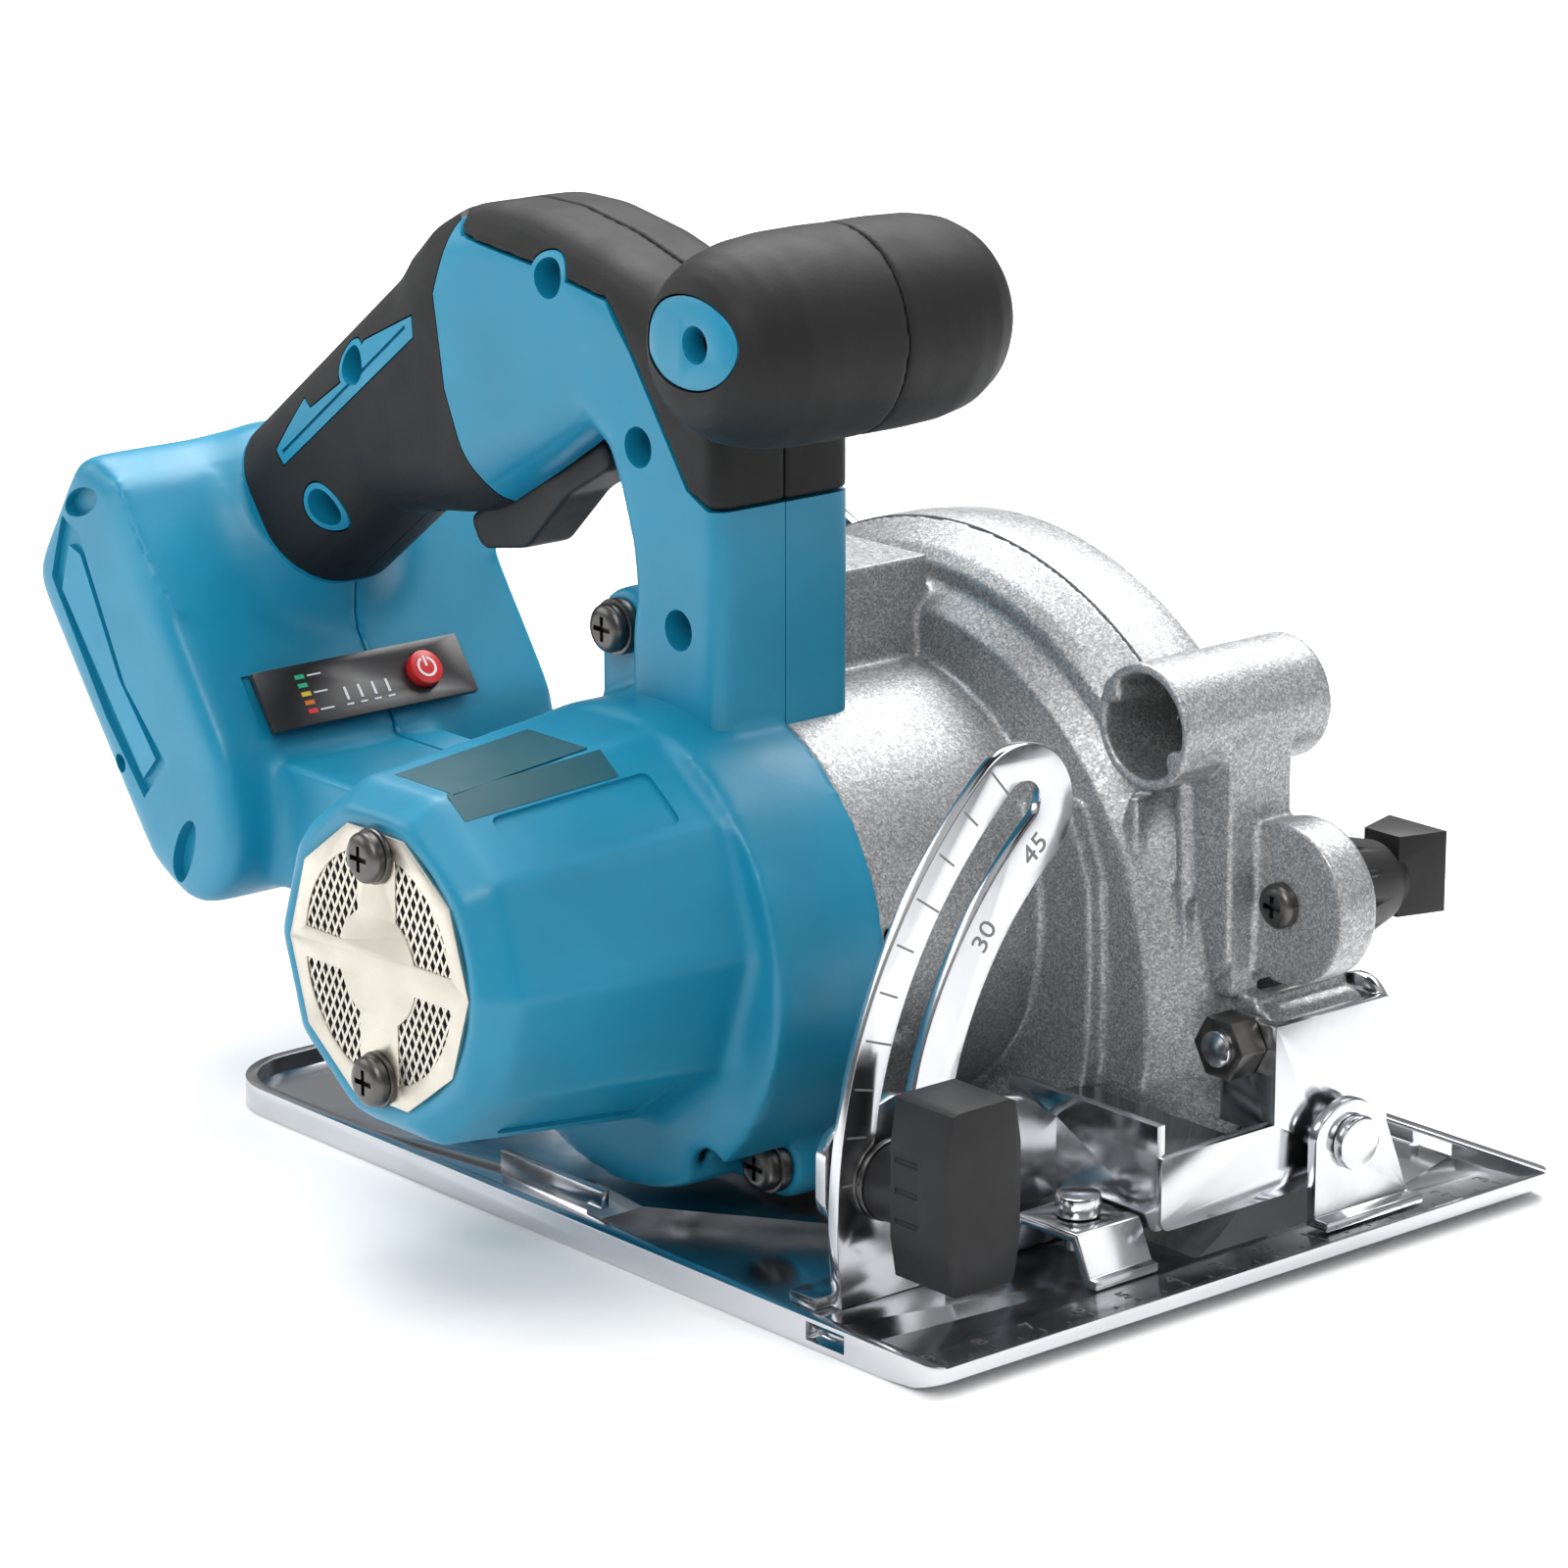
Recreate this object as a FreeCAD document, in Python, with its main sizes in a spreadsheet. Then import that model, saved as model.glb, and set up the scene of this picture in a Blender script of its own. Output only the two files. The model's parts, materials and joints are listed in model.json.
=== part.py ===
import FreeCAD, Part
import Sketcher
import math
import os
import re

# Cordless circular saw, 125 mm blade on the left, motor on the right.
# +X points along the cut, +Y to the saw's left, +Z up. The origin lies on the sole,
# in the middle plane of the blade, straight below the arbor. Millimetres.

SIZES = {
    # base
    "base_front": 94, "base_rear": 88, "base_right": 97, "base_left": 37,
    "sheet": 2, "rim_top": 4.8, "rim_wall": 2, "lip_rise": 2.6,
    "opening_rear": 74, "opening_front": 80, "opening_right": 30, "opening_left": 12,
    # bevel hinge and quadrant
    "hinge_y": 0, "hinge_z": 15.5, "rivet_radius": 2.5, "ear_x": 83.2, "ear_sheet": 2,
    "quadrant_x": 59, "quadrant_sheet": 2.2, "quadrant_inner": 66, "quadrant_outer": 87.5,
    "slot_radius": 77.5, "slot_half": 3.3, "bevel_max": 45, "bolt_angle": 175.9,
    # tilt bracket and depth pivot
    "bracket_x": 79.2, "bracket_sheet": 2.2, "bracket_top": 36,
    "pivot_x": 73, "pivot_z": 32, "pivot_radius": 3, "guide_radius": 134, "depth_max": 22,
    # blade, guards and gears
    "arbor_z": 32, "blade_radius": 62.5, "blade_sheet": 1.6, "blade_bore": 10,
    "tooth_count": 24, "case_radius": 70, "case_wall": 2, "case_right": -20,
    "case_seam": -8, "case_left": 10, "case_bottom": 6,
    "lower_radius": 66.6, "lower_wall": 1.4, "lower_half": 4.6,
    "motor_z": 50, "gear_radius": 14.4, "pinion_radius": 4.4, "spindle_radius": 5,
    "boss_radius": 37.5, "boss_z": 45,
    # motor housing
    "seam_y": -58, "barrel_end": -127, "barrel_bevel": -122, "barrel_root": -80,
    "barrel_small": 29, "barrel_large": 33.5, "barrel_mouth": 25,
    "flange_radius": 39.2, "flange_z": 43.8, "shell": 2.5,
    # handle
    "handle_half": 14, "handle_core": 10.5, "skin": 2,
    "bar_x": 27.5, "bar_z": 144, "bar_radius": 16.5, "bar_right": -88, "bar_left": -30,
    # battery dock, measured along the grip (n), across it (t) and sideways
    "dock_back": -67, "dock_face": -35, "dock_top": -162, "dock_foot": -80,
    "dock_right": -94, "dock_left": -22,
    # dust tube and nose boss
    "tube_x": 60, "tube_z": 82, "tube_outer": 10, "tube_bore": 8.4, "tube_mouth": -24,
    "nose_x": 76, "nose_z": 54, "nose_radius": 13, "nose_right": -8.5, "nose_left": -0.6,
}
GRIP_COS, GRIP_SIN = 0.8, 0.6   # the grip leans at a 3-4-5 slope

doc = FreeCAD.newDocument("circular_saw")
sheet = doc.addObject("Spreadsheet::Sheet", "sizes")
for row, (alias, number) in enumerate(SIZES.items(), start=1):
    sheet.set(f"A{row}", alias)
    sheet.set(f"B{row}", str(number))
    sheet.setAlias(f"B{row}", alias)
doc.recompute()

nodes = []
used_names = {}


def formula(text):
    """Turn a formula in plain size names into an expression on the sheet."""
    return re.sub(r"[a-z_]+\w*", lambda m: f"sizes.{m[0]}" if m[0] in SIZES else m[0], str(text))


def value(text):
    """The number that a formula in plain size names stands for, in millimetres."""
    probe = doc.addObject("App::FeaturePython", "probe")
    probe.addProperty("App::PropertyFloat", "number")
    probe.setExpression("number", formula(text))
    probe.recompute()
    number = probe.number
    doc.removeObject(probe.Name)
    return number


def bind(thing, prop, text):
    thing.setExpression(prop, formula(text))


def new(kind, name):
    used_names[name] = used_names.get(name, 0) + 1
    return doc.addObject(kind, f"{name}_{used_names[name]}")


def move(thing, x=0, y=0, z=0, turn=None):
    """Place a thing: formulas for its base, and an optional (axis, degrees) turn."""
    if turn:
        thing.Placement = FreeCAD.Placement(FreeCAD.Vector(),
                                            FreeCAD.Rotation(FreeCAD.Vector(*turn[0]), turn[1]))
    for letter, text in zip("xyz", (x, y, z)):
        bind(thing, f"Placement.Base.{letter}", text)
    return thing


def box(name, xs, ys, zs):
    thing = new("Part::Box", name)
    for prop, (low, high) in zip(("Length", "Width", "Height"), (xs, ys, zs)):
        bind(thing, prop, f"({high}) - ({low})")
    return move(thing, xs[0], ys[0], zs[0])


AXES = {"x": ((0, 1, 0), 90), "y": ((1, 0, 0), -90), "z": ((0, 0, 1), 0)}


def along(thing, axis, start, across):
    """Stand a turned thing on an axis through the two other coordinates."""
    first, second = across
    spots = {"x": (start, first, second), "y": (first, start, second), "z": (first, second, start)}
    return move(thing, *spots[axis], turn=AXES[axis])


def rod(name, axis, span, across, radius):
    thing = new("Part::Cylinder", name)
    bind(thing, "Radius", radius)
    bind(thing, "Height", f"({span[1]}) - ({span[0]})")
    return along(thing, axis, span[0], across)


def cone(name, axis, span, across, radii):
    thing = new("Part::Cone", name)
    bind(thing, "Radius1", radii[0])
    bind(thing, "Radius2", radii[1])
    bind(thing, "Height", f"({span[1]}) - ({span[0]})")
    return along(thing, axis, span[0], across)


def prism(name, axis, span, across, radius, sides=6):
    thing = new("Part::Prism", name)
    thing.Polygon = sides
    bind(thing, "Circumradius", radius)
    bind(thing, "Height", f"({span[1]}) - ({span[0]})")
    return along(thing, axis, span[0], across)


def fuse(name, things, refine=True):
    thing = new("Part::MultiFuse", name)
    thing.Shapes = things
    thing.Refine = refine
    return thing


def cut(name, base, tools):
    thing = new("Part::Cut", name)
    thing.Base = base
    thing.Tool = tools[0] if len(tools) == 1 else fuse(name + "_tools", tools)
    thing.Refine = True
    return thing


def common(name, base, tool):
    thing = new("Part::Common", name)
    thing.Base = base
    thing.Tool = tool
    thing.Refine = True
    return thing


def group(name, things):
    """Several loose solids in one node."""
    thing = new("Part::Compound", name)
    thing.Links = things
    return thing


def ring(name, axis, span, across, outer, inner):
    bore = rod(name + "_bore", axis, (f"({span[0]}) - 1", f"({span[1]}) + 1"), across, inner)
    return cut(name, rod(name + "_disc", axis, span, across, outer), [bore])


def node(label, thing):
    thing.Label = label
    nodes.append(thing)
    return thing


PLANES = {"x": "YZ_Plane", "y": "XZ_Plane", "z": "XY_Plane"}


def rounded(outline):
    """Edges of a closed outline; a point's third number rounds its corner."""
    corners = [FreeCAD.Vector(p[0], p[1], 0) for p in outline]
    radii = [p[2] if len(p) > 2 else 0 for p in outline]
    starts, ends, arcs = [], [], []
    for i, corner in enumerate(corners):
        before = (corners[i - 1] - corner).normalize()
        after = (corners[(i + 1) % len(corners)] - corner).normalize()
        half = before.getAngle(after) / 2
        reach = radii[i] / math.tan(half) if radii[i] else 0
        ends.append(corner + before * reach)
        starts.append(corner + after * reach)
        if radii[i]:
            middle = corner + (before + after).normalize() * (radii[i] / math.sin(half) - radii[i])
            arcs.append(Part.Arc(ends[-1], middle, starts[-1]))
    lines = []
    for i, start in enumerate(starts):
        end = ends[(i + 1) % len(corners)]
        if start.distanceToPoint(end) > 1e-6:
            lines.append(Part.LineSegment(start, end))
    return lines + arcs


def pad(name, axis, span, outline, circles=()):
    """A PartDesign body: an outline padded along an axis, with round holes (x, y, radius)."""
    body = new("PartDesign::Body", name)
    sketch = body.newObject("Sketcher::SketchObject", body.Name + "_sketch")
    plane = next(f for f in body.Origin.OriginFeatures if f.Role == PLANES[axis])
    sketch.AttachmentSupport = [(plane, "")]
    sketch.MapMode = "FlatFace"
    for edge in rounded(outline):
        sketch.addGeometry(edge, False)
    for x, y, radius in circles:
        circle = Part.Circle(FreeCAD.Vector(value(x), value(y), 0), FreeCAD.Vector(0, 0, 1), value(radius))
        index = sketch.addGeometry(circle, False)
        constraint = sketch.addConstraint(Sketcher.Constraint("Radius", index, value(radius)))
        sketch.setExpression(f"Constraints[{constraint}]", formula(radius))
    feature = body.newObject("PartDesign::Pad", body.Name + "_pad")
    feature.Profile = sketch
    bind(feature, "Length", f"({span[1]}) - ({span[0]})")
    # the XZ plane faces -Y, so its pad starts from the higher end
    base = {"x": (span[0], 0, 0), "y": (0, span[1], 0), "z": (0, 0, span[0])}[axis]
    return move(body, *base)


def slab(name, ys, outline, inset=0):
    """An outline in the XZ plane, drawn in by an inset, extruded between two Y values."""
    sketch = new("Sketcher::SketchObject", name + "_sketch")
    sketch.Placement = FreeCAD.Placement(FreeCAD.Vector(), FreeCAD.Rotation(FreeCAD.Vector(1, 0, 0), 90))
    for edge in rounded(outline):
        sketch.addGeometry(edge, False)
    source = sketch
    if inset:
        source = new("Part::Offset2D", name + "_inset")
        source.Source = sketch
        source.Join = "Intersection"
        bind(source, "Value", f"-({inset})")
    thing = new("Part::Extrusion", name)
    thing.Base = source
    thing.DirMode = "Custom"
    thing.Dir = FreeCAD.Vector(0, 1, 0)
    thing.Solid = True
    bind(thing, "LengthFwd", f"({ys[1]}) - ({ys[0]})")
    return move(thing, 0, ys[0], 0)


def wheel_outline(teeth, root, tip, root_part, tip_part, first):
    """A toothed wheel's outline: straight-sided teeth, the first centred at an angle in degrees."""
    points = []
    for i in range(teeth):
        for radius, part in ((root, -root_part), (tip, -tip_part), (tip, tip_part), (root, root_part)):
            angle = math.radians(first + 360 * (i + part) / teeth)
            points.append((radius * math.cos(angle), radius * math.sin(angle)))
    return points


ARBOR = ("0", "arbor_z")
MOTOR = ("0", "motor_z")
PIVOT = ("pivot_x", "pivot_z")
HINGE = ("hinge_y", "hinge_z")
NOSE = ("nose_x", "nose_z")
BAR = ("bar_x", "bar_z")
PLATE_SCREWS = [("0", f"motor_z + {z}") for z in (17.8, -17.8)]
LUGS = ((22, 10.5), (-15, 91), (-37, 26))   # X, Z of the screws that hold the motor housing


# ---------------------------------------------------------------- base
def base_plate():
    front, rear = SIZES["base_front"], -SIZES["base_rear"]
    right, left = -SIZES["base_right"], SIZES["base_left"]
    outline = [(front, right, 3), (front, left, 3), (rear, left, 14), (rear, right, 14)]
    inner = [(front + 5, right + 2, 0), (front + 5, left - 2, 0), (rear + 2, left - 2, 12),
             (rear + 2, right + 2, 12)]
    pan = cut("pan", pad("pan_outer", "z", ("0", "rim_top"), outline),
              [pad("pan_inner", "z", ("sheet", "rim_top + 1"), inner)])
    opening = box("blade_opening", ("-opening_rear", "opening_front"), ("-opening_right", "opening_left"),
                  (-1, 6))
    lip = pad("lip_wedge", "y", ("-base_right - 1", "base_left + 1"),
              [(front - 12, -0.5), (front - 12, 0), (front - 5, 0.6), (front + 1, 2.6), (front + 1, -0.5)])
    lip_top = pad("lip_top", "y", ("-base_right + 2", "base_left - 2"),
                  [(front - 12, 1.5), (front - 12, 2), (front - 5, 2.6), (front, 4.6), (front, 2.2),
                   (front - 5, 0.8)])
    slots = [box("fence_slot", (65, 73.6), low_high, (1.2, 4.1))
             for low_high in (("-base_right - 1", "-base_right + 3"), ("base_left - 3", "base_left + 1"))]
    tab_hole = pad("tab_hole", "z", (-1, 3), [(-20, -83.5), (6, -88.5), (6, -80), (-8, -78)])
    tab = box("motor_tab", (-21, 5), (-87.6, -86.1), ("sheet - 0.5", 6))
    plate = fuse("plate_pressing", [pan, lip_top, tab])
    return node("base_plate", cut("base_plate", plate, [opening, lip, tab_hole] + slots))


def ring_point(radius, degrees):
    """A point of the YZ plane at a radius and angle about the bevel hinge."""
    angle = math.radians(degrees)
    return (SIZES["hinge_y"] + radius * math.cos(angle), SIZES["hinge_z"] + radius * math.sin(angle))


def quadrant():
    outer, inner = SIZES["quadrant_outer"], SIZES["quadrant_inner"]
    start, end = SIZES["bolt_angle"], SIZES["bolt_angle"] - SIZES["bevel_max"]
    span = ("quadrant_x", "quadrant_x + quadrant_sheet")
    hinge = HINGE
    disc = cut("arc_band", rod("arc_outer", "x", span, hinge, "quadrant_outer"),
               [rod("arc_inner", "x", ("quadrant_x - 1", "quadrant_x + quadrant_sheet + 1"), hinge,
                    "quadrant_inner")])
    tip = ring_point((outer + inner) / 2, end)
    sector = pad("arc_sector", "x", ("quadrant_x - 1", "quadrant_x + 4"),
                 [(0, 15.5), tuple(2 * c - h for c, h in zip(tip, (0, 15.5))), (-170, 60), (-170, -2),
                  (-60, -2)])
    foot_box = box("arc_floor", ("quadrant_x - 2", "quadrant_x + 5"), (-90, -50), (-40, "sheet + 0.05"))
    end_round = rod("arc_end", "x", span, tip, "(quadrant_outer - quadrant_inner) / 2")
    band = cut("arc_cut", common("arc_piece", disc, sector), [foot_box])
    middle = SIZES["slot_radius"]
    half = SIZES["slot_half"]
    slot = cut("slot_band", rod("slot_outer", "x", ("quadrant_x - 1", "quadrant_x + 4"), hinge,
                                "slot_radius + slot_half"),
               [rod("slot_inner", "x", ("quadrant_x - 2", "quadrant_x + 5"), hinge,
                    "slot_radius - slot_half")])
    first, last = ring_point(middle * 2, start + 1), ring_point(middle * 2, end - 1)
    slot_sector = pad("slot_sector", "x", ("quadrant_x - 1", "quadrant_x + 4"),
                      [(0, 15.5), last, ring_point(middle * 2, (start + end) / 2), first])
    ends = [rod("slot_end", "x", ("quadrant_x - 1", "quadrant_x + 4"), ring_point(middle, a), half)
            for a in (start + 1, end - 1)]
    foot = box("quadrant_foot", ("quadrant_x - 6", "quadrant_x"), (-90, -79), ("sheet + 0.05", "sheet + 2"))
    body = cut("quadrant_plate", fuse("quadrant_blank", [band, end_round]),
               [common("slot_arc", slot, slot_sector)] + ends)
    return node("bevel_quadrant", fuse("bevel_quadrant", [body, foot]))


def hinge_ear(label, x, side):
    """An ear that stands on the base and holds a bevel rivet; its foot points to a side of X."""
    low, high = f"{x} - ear_sheet / 2", f"{x} + ear_sheet / 2"
    floor = 2.65 if side > 0 else 2.05
    plate = pad(label + "_plate", "x", (low, high),
                [(-8, floor), (14, floor), (8, 17, 3), (0, 24.5, 7), (-8, 19, 5)])
    foot_span = (low, f"{x} + 3.7") if side > 0 else (f"{x} - 5.6", high)
    foot = box(label + "_foot", foot_span, (-8, 14), (floor, floor + 1.6))
    hole = rod(label + "_hole", "x", (f"{x} - 5", f"{x} + 5"), HINGE, "rivet_radius + 0.05")
    return node(label, cut(label, fuse(label + "_blank", [plate, foot]), [hole]))


def hinge_rivets():
    rivets = []
    for low, high in (("bracket_x - 1.4", "ear_x + ear_sheet / 2"), (-81, -74.6)):
        shank = rod("rivet_shank", "x", (low, high), HINGE, "rivet_radius")
        heads = [rod("rivet_head", "x", (high, f"({high}) + 2"), HINGE, 4.4),
                 rod("rivet_tail", "x", (f"({low}) - 1.2", low), HINGE, 4)]
        rivets.append(fuse("rivet", [shank] + heads))
    return node("hinge_rivets", group("hinge_rivets", rivets))


SCREW_Y = -45.3   # the fence clamp's screw


def fence_clamp():
    outline = [(52, 2.05), (60, 2.05), (64.2, 8.4), (75.2, 8.4), (78, 2.05), (80.6, 2.05),
               (80.6, 3.6), (79.2, 3.6), (76.2, 10), (63, 10), (59, 3.6), (52, 3.6)]
    strap = pad("clamp_strap", "y", (SCREW_Y - 6.7, SCREW_Y + 6.7), outline)
    hole = rod("clamp_hole", "z", (6, 12), (69.5, SCREW_Y), 2.1)
    node("fence_clamp", cut("fence_clamp", strap, [hole]))
    shank = rod("clamp_shank", "z", (4.4, 12), (69.5, SCREW_Y), 2)
    head = rod("clamp_head", "z", (10.1, 13.5), (69.5, SCREW_Y), 3.6)
    node("fence_clamp_screw", fuse("fence_clamp_screw", [shank, head]))


# ------------------------------------------------------- tilt bracket
def tilt_bracket():
    face = ("bracket_x - bracket_sheet / 2", "bracket_x + bracket_sheet / 2")
    front = pad("bracket_front", "x", face,
                [(-38, 8, 2), (9, 8, 4), (12, 14, 2), (12, 36), (-13.5, 36), (-13.5, 20), (-38, 20)])
    ears = [box("bracket_ear", (68.4, "bracket_x"), ys, (18, "bracket_top")) for ys in ((-13.5, -11.5),
                                                                                        (10.6, 12))]
    shelf = box("bracket_shelf", (46, "bracket_x"), (-38, -22), (18.4, 20))
    shelf_lip = box("bracket_shelf_lip", (46, "bracket_x"), (-38, -36.4), (18.4, 25))
    step = box("bracket_step", (55, "bracket_x"), (-38, -36), (8, 20))
    arm = pad("bracket_arm", "x", (54.6, 56.8),
              [(-86, 14, 5), (-46, 8), (-36.5, 8), (-36.5, 20), (-46, 26), (-72, 32, 4), (-86, 28, 5)])
    blank = fuse("bracket_blank", [front, shelf, shelf_lip, step, arm] + ears)
    holes = [rod("bracket_hinge_hole", "x", (70, 84), HINGE, "rivet_radius + 0.05"),
             rod("bracket_bolt_hole", "x", (50, 60),
                 ring_point(SIZES["slot_radius"], SIZES["bolt_angle"]), 2.6),
             rod("bracket_pivot_hole", "y", (-15, 14), PIVOT, "pivot_radius + 0.03")]
    return node("tilt_bracket", cut("tilt_bracket", blank, holes))


def depth_guide():
    """An arc about the depth pivot, standing on the rear bevel rivet."""
    inner, outer = 129.5, 140.5
    def at(radius, degrees):
        angle = math.radians(degrees)
        return (SIZES["pivot_x"] + radius * math.cos(angle), SIZES["pivot_z"] + radius * math.sin(angle))

    def band(name, span, wide, narrow, first, last):
        """A bent strip between two radii and two angles."""
        steps = [first + i * (last - first) / 10 for i in range(11)]
        return pad(name, "y", span, [at(wide, a) for a in steps] + [at(narrow, a) for a in reversed(steps)])
    middle, half = SIZES["guide_radius"], 3.1
    top = 180 - SIZES["depth_max"]
    arc = band("guide_arc", (12.6, 14.4), outer, inner, 184, top - 3.4)
    slot = band("guide_slot", (11, 16), middle + half, middle - half, 181.6, top - 1.6)
    foot = pad("guide_foot", "x", (-77.6, -75.8), [(-8, 8), (9, 8), (14.4, 14), (14.4, 30), (-8, 30)])
    strut = box("guide_strut", (-77.6, -61), (12.6, 14.4), (22, 30))
    hole = rod("guide_hole", "x", (-80, -70), HINGE, "rivet_radius + 0.05")
    return node("depth_guide", cut("depth_guide", fuse("guide_blank", [arc, foot, strut]), [slot, hole]))


BOLT = ring_point(SIZES["slot_radius"], SIZES["bolt_angle"])


def bevel_lock():
    shank = rod("lock_shank", "x", (53, 80), BOLT, 2.5)
    head = rod("lock_head", "x", (50.5, 54.5), BOLT, 5)
    washer = ring("lock_washer", "x", (61.3, 62.5), BOLT, 6.5, 2.55)
    node("bevel_lock_bolt", fuse("bevel_lock_bolt", [shank, head]))
    node("bevel_lock_washer", washer)
    y, z = BOLT
    half, low, high = 7.6, z - 12, z + 17
    bar = pad("knob_bar", "x", (70, 82.6), [(y - half, low, 3), (y + half, low, 3),
                                            (y + half, high, 3), (y - half, high, 3)])
    hub = rod("knob_hub", "x", (62.6, 70), BOLT, 6.2)
    hole = rod("knob_hole", "x", (62, 80.2), BOLT, 2.56)
    node("bevel_lock_knob", cut("bevel_lock_knob", fuse("knob_blank", [bar, hub]), [hole]))


# ------------------------------------------------- gear case and guards
def gear_case():
    face = ("case_right", "case_seam")
    dish = cone("case_dish", "y", face, ARBOR, (58, "case_radius"))
    dish_room = cone("case_dish_room", "y", ("case_right + 2.5", "case_seam + 0.01"), ARBOR,
                     (55.5, "case_radius - 2.2"))
    shell = cut("case_dish_hollow", dish, [dish_room])
    below = box("case_below", (-90, 90), (-30, 20), (-60, "case_bottom"))
    shell = cut("case_guard", shell, [below])
    boss_at = ("0", "boss_z")
    boss = rod("case_boss", "y", ("seam_y", "case_right + 1"), boss_at, "boss_radius")
    rib = box("case_rib", (-30, 4), (-43.6, -18), (79, 98.5))
    seats = [rod("case_lug", "y", ("seam_y", "seam_y + 16"), spot, 6) for spot in LUGS]
    blade_room = rod("case_blade_room", "y", ("case_seam", 20), ARBOR, "case_radius + 0.3")
    tube = rod("dust_tube", "y", ("tube_mouth", 8), ("tube_x", "tube_z"), "tube_outer")
    chute = box("dust_chute", (56, 70), (-13, -0.8), (38, "tube_z"))
    neck = box("nose_neck", (60, "nose_x"), ("nose_right", "nose_left"), (44, 66))
    nose = rod("nose_boss", "y", ("nose_right", "nose_left"), NOSE, "nose_radius")
    lug = fuse("pivot_lug", [rod("pivot_eye", "y", (-10.8, 9.9), PIVOT, 4.8),
                             box("pivot_web", (62, "pivot_x"), (-10.8, 9.9), (28, 38.4))])
    front = cut("case_front", fuse("case_front_blank", [tube, chute, neck, nose, lug]), [blade_room])
    hub = rod("case_hub", "y", ("case_right + 1", -3), ARBOR, 20)
    blank = fuse("case_blank", [shell, boss, rib, front, hub] + seats, refine=False)
    room = rod("gear_room", "y", ("seam_y - 1", "case_right - 3"), boss_at, "boss_radius - 3")
    holes = [rod("rotor_seat", "y", ("case_right - 4", "case_right - 0.5"), MOTOR, 2.6),
             rod("tube_bore", "y", ("tube_mouth - 1", 6), ("tube_x", "tube_z"), "tube_bore"),
             rod("spindle_hole", "y", (-30, 0), ARBOR, 7),
             rod("spindle_seat", "y", (-17, -8), ARBOR, 13),
             rod("pivot_hole", "y", (-12, 12), PIVOT, "pivot_radius + 0.04"),
             rod("nose_hole", "y", (-15, 5), NOSE, 2.1)]
    holes += [rod("lug_hole", "y", ("seam_y - 1", "seam_y + 8"), spot, 1.7) for spot in LUGS]
    return node("gear_case", cut("gear_case", blank, [room] + holes))


def blade_cover():
    rim = rod("cover_rim", "y", ("case_seam + 0.05", 0), ARBOR, "case_radius")
    dome = cone("cover_dome", "y", (0, 5.4), ARBOR, ("case_radius", 69.4))
    face = cone("cover_face", "y", (5.4, "case_left"), ARBOR, (69.4, 60))
    room = rod("cover_room", "y", (-10, 5.2), ARBOR, "case_radius - case_wall")
    room_end = cone("cover_room_end", "y", (5.19, 8), ARBOR, (66.5, 60))
    below = box("cover_below", (-90, 90), (-30, 20), (-60, "case_bottom"))
    eye = rod("cover_eye", "y", (5, 12), ARBOR, 23)
    shell = cut("blade_cover_shell", fuse("cover_blank", [rim, dome, face]), [room, room_end, below, eye])
    tube_gap = rod("cover_tube_gap", "y", (-12, 9), ("tube_x", "tube_z"), "tube_outer + 0.3")
    chute_gap = box("cover_chute_gap", (52.8, 80), (-14, 4.3), (24, "tube_z"))
    lug_gap = box("cover_lug_gap", (61.7, 82), (-14, 10.2), (24, 39))
    slot = cut("lever_slot_ring", rod("lever_slot_outer", "y", (5, 12), ARBOR, 53),
               [rod("lever_slot_inner", "y", (4, 13), ARBOR, 45)])
    slot_side = pad("lever_slot_side", "y", (5, 12), [(0, 32), (-70, 20), (-70, 110), (60, 110), (45, 68)])
    cuts = [tube_gap, chute_gap, lug_gap, common("lever_slot", slot, slot_side)]
    node("blade_cover", cut("blade_cover", shell, cuts))


def lower_guard():
    inner = "lower_radius - lower_wall"
    drum = rod("lower_drum", "y", ("-lower_half", "lower_half"), ARBOR, "lower_radius")
    room = rod("lower_room", "y", ("-lower_half + lower_wall", "lower_half - lower_wall"), ARBOR, inner)
    window = rod("lower_window", "y", ("0", "lower_half + 1"), ARBOR, 38)
    above = pad("lower_above", "y", (-8, 8), [(0, 32), (80, 18), (80, 110), (-80, 110), (-80, 25)])
    shell = cut("lower_shell", drum, [room, window, above])
    hub = rod("lower_hub", "y", ("-lower_half", "-lower_half + lower_wall"), ARBOR, 26)
    hole = rod("lower_hub_hole", "y", (-8, 0), ARBOR, 20.06)
    pin = rod("lower_pin", "y", ("lower_half - 0.5", 16), (-48.5, 28.2), 2.4)
    grip = rod("lower_lever_grip", "y", (11, 19), (-48.5, 28.2), 5)
    node("lower_guard", cut("lower_guard", fuse("lower_blank", [shell, hub, pin]), [hole]))
    node("guard_lever", cut("guard_lever", grip,
                            [rod("lever_pin_hole", "y", (10, 16), (-48.5, 28.2), 2.4)]))
    node("guard_spring", ring("guard_spring", "y", (-7.2, -5.2), ARBOR, 23, 21))


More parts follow.
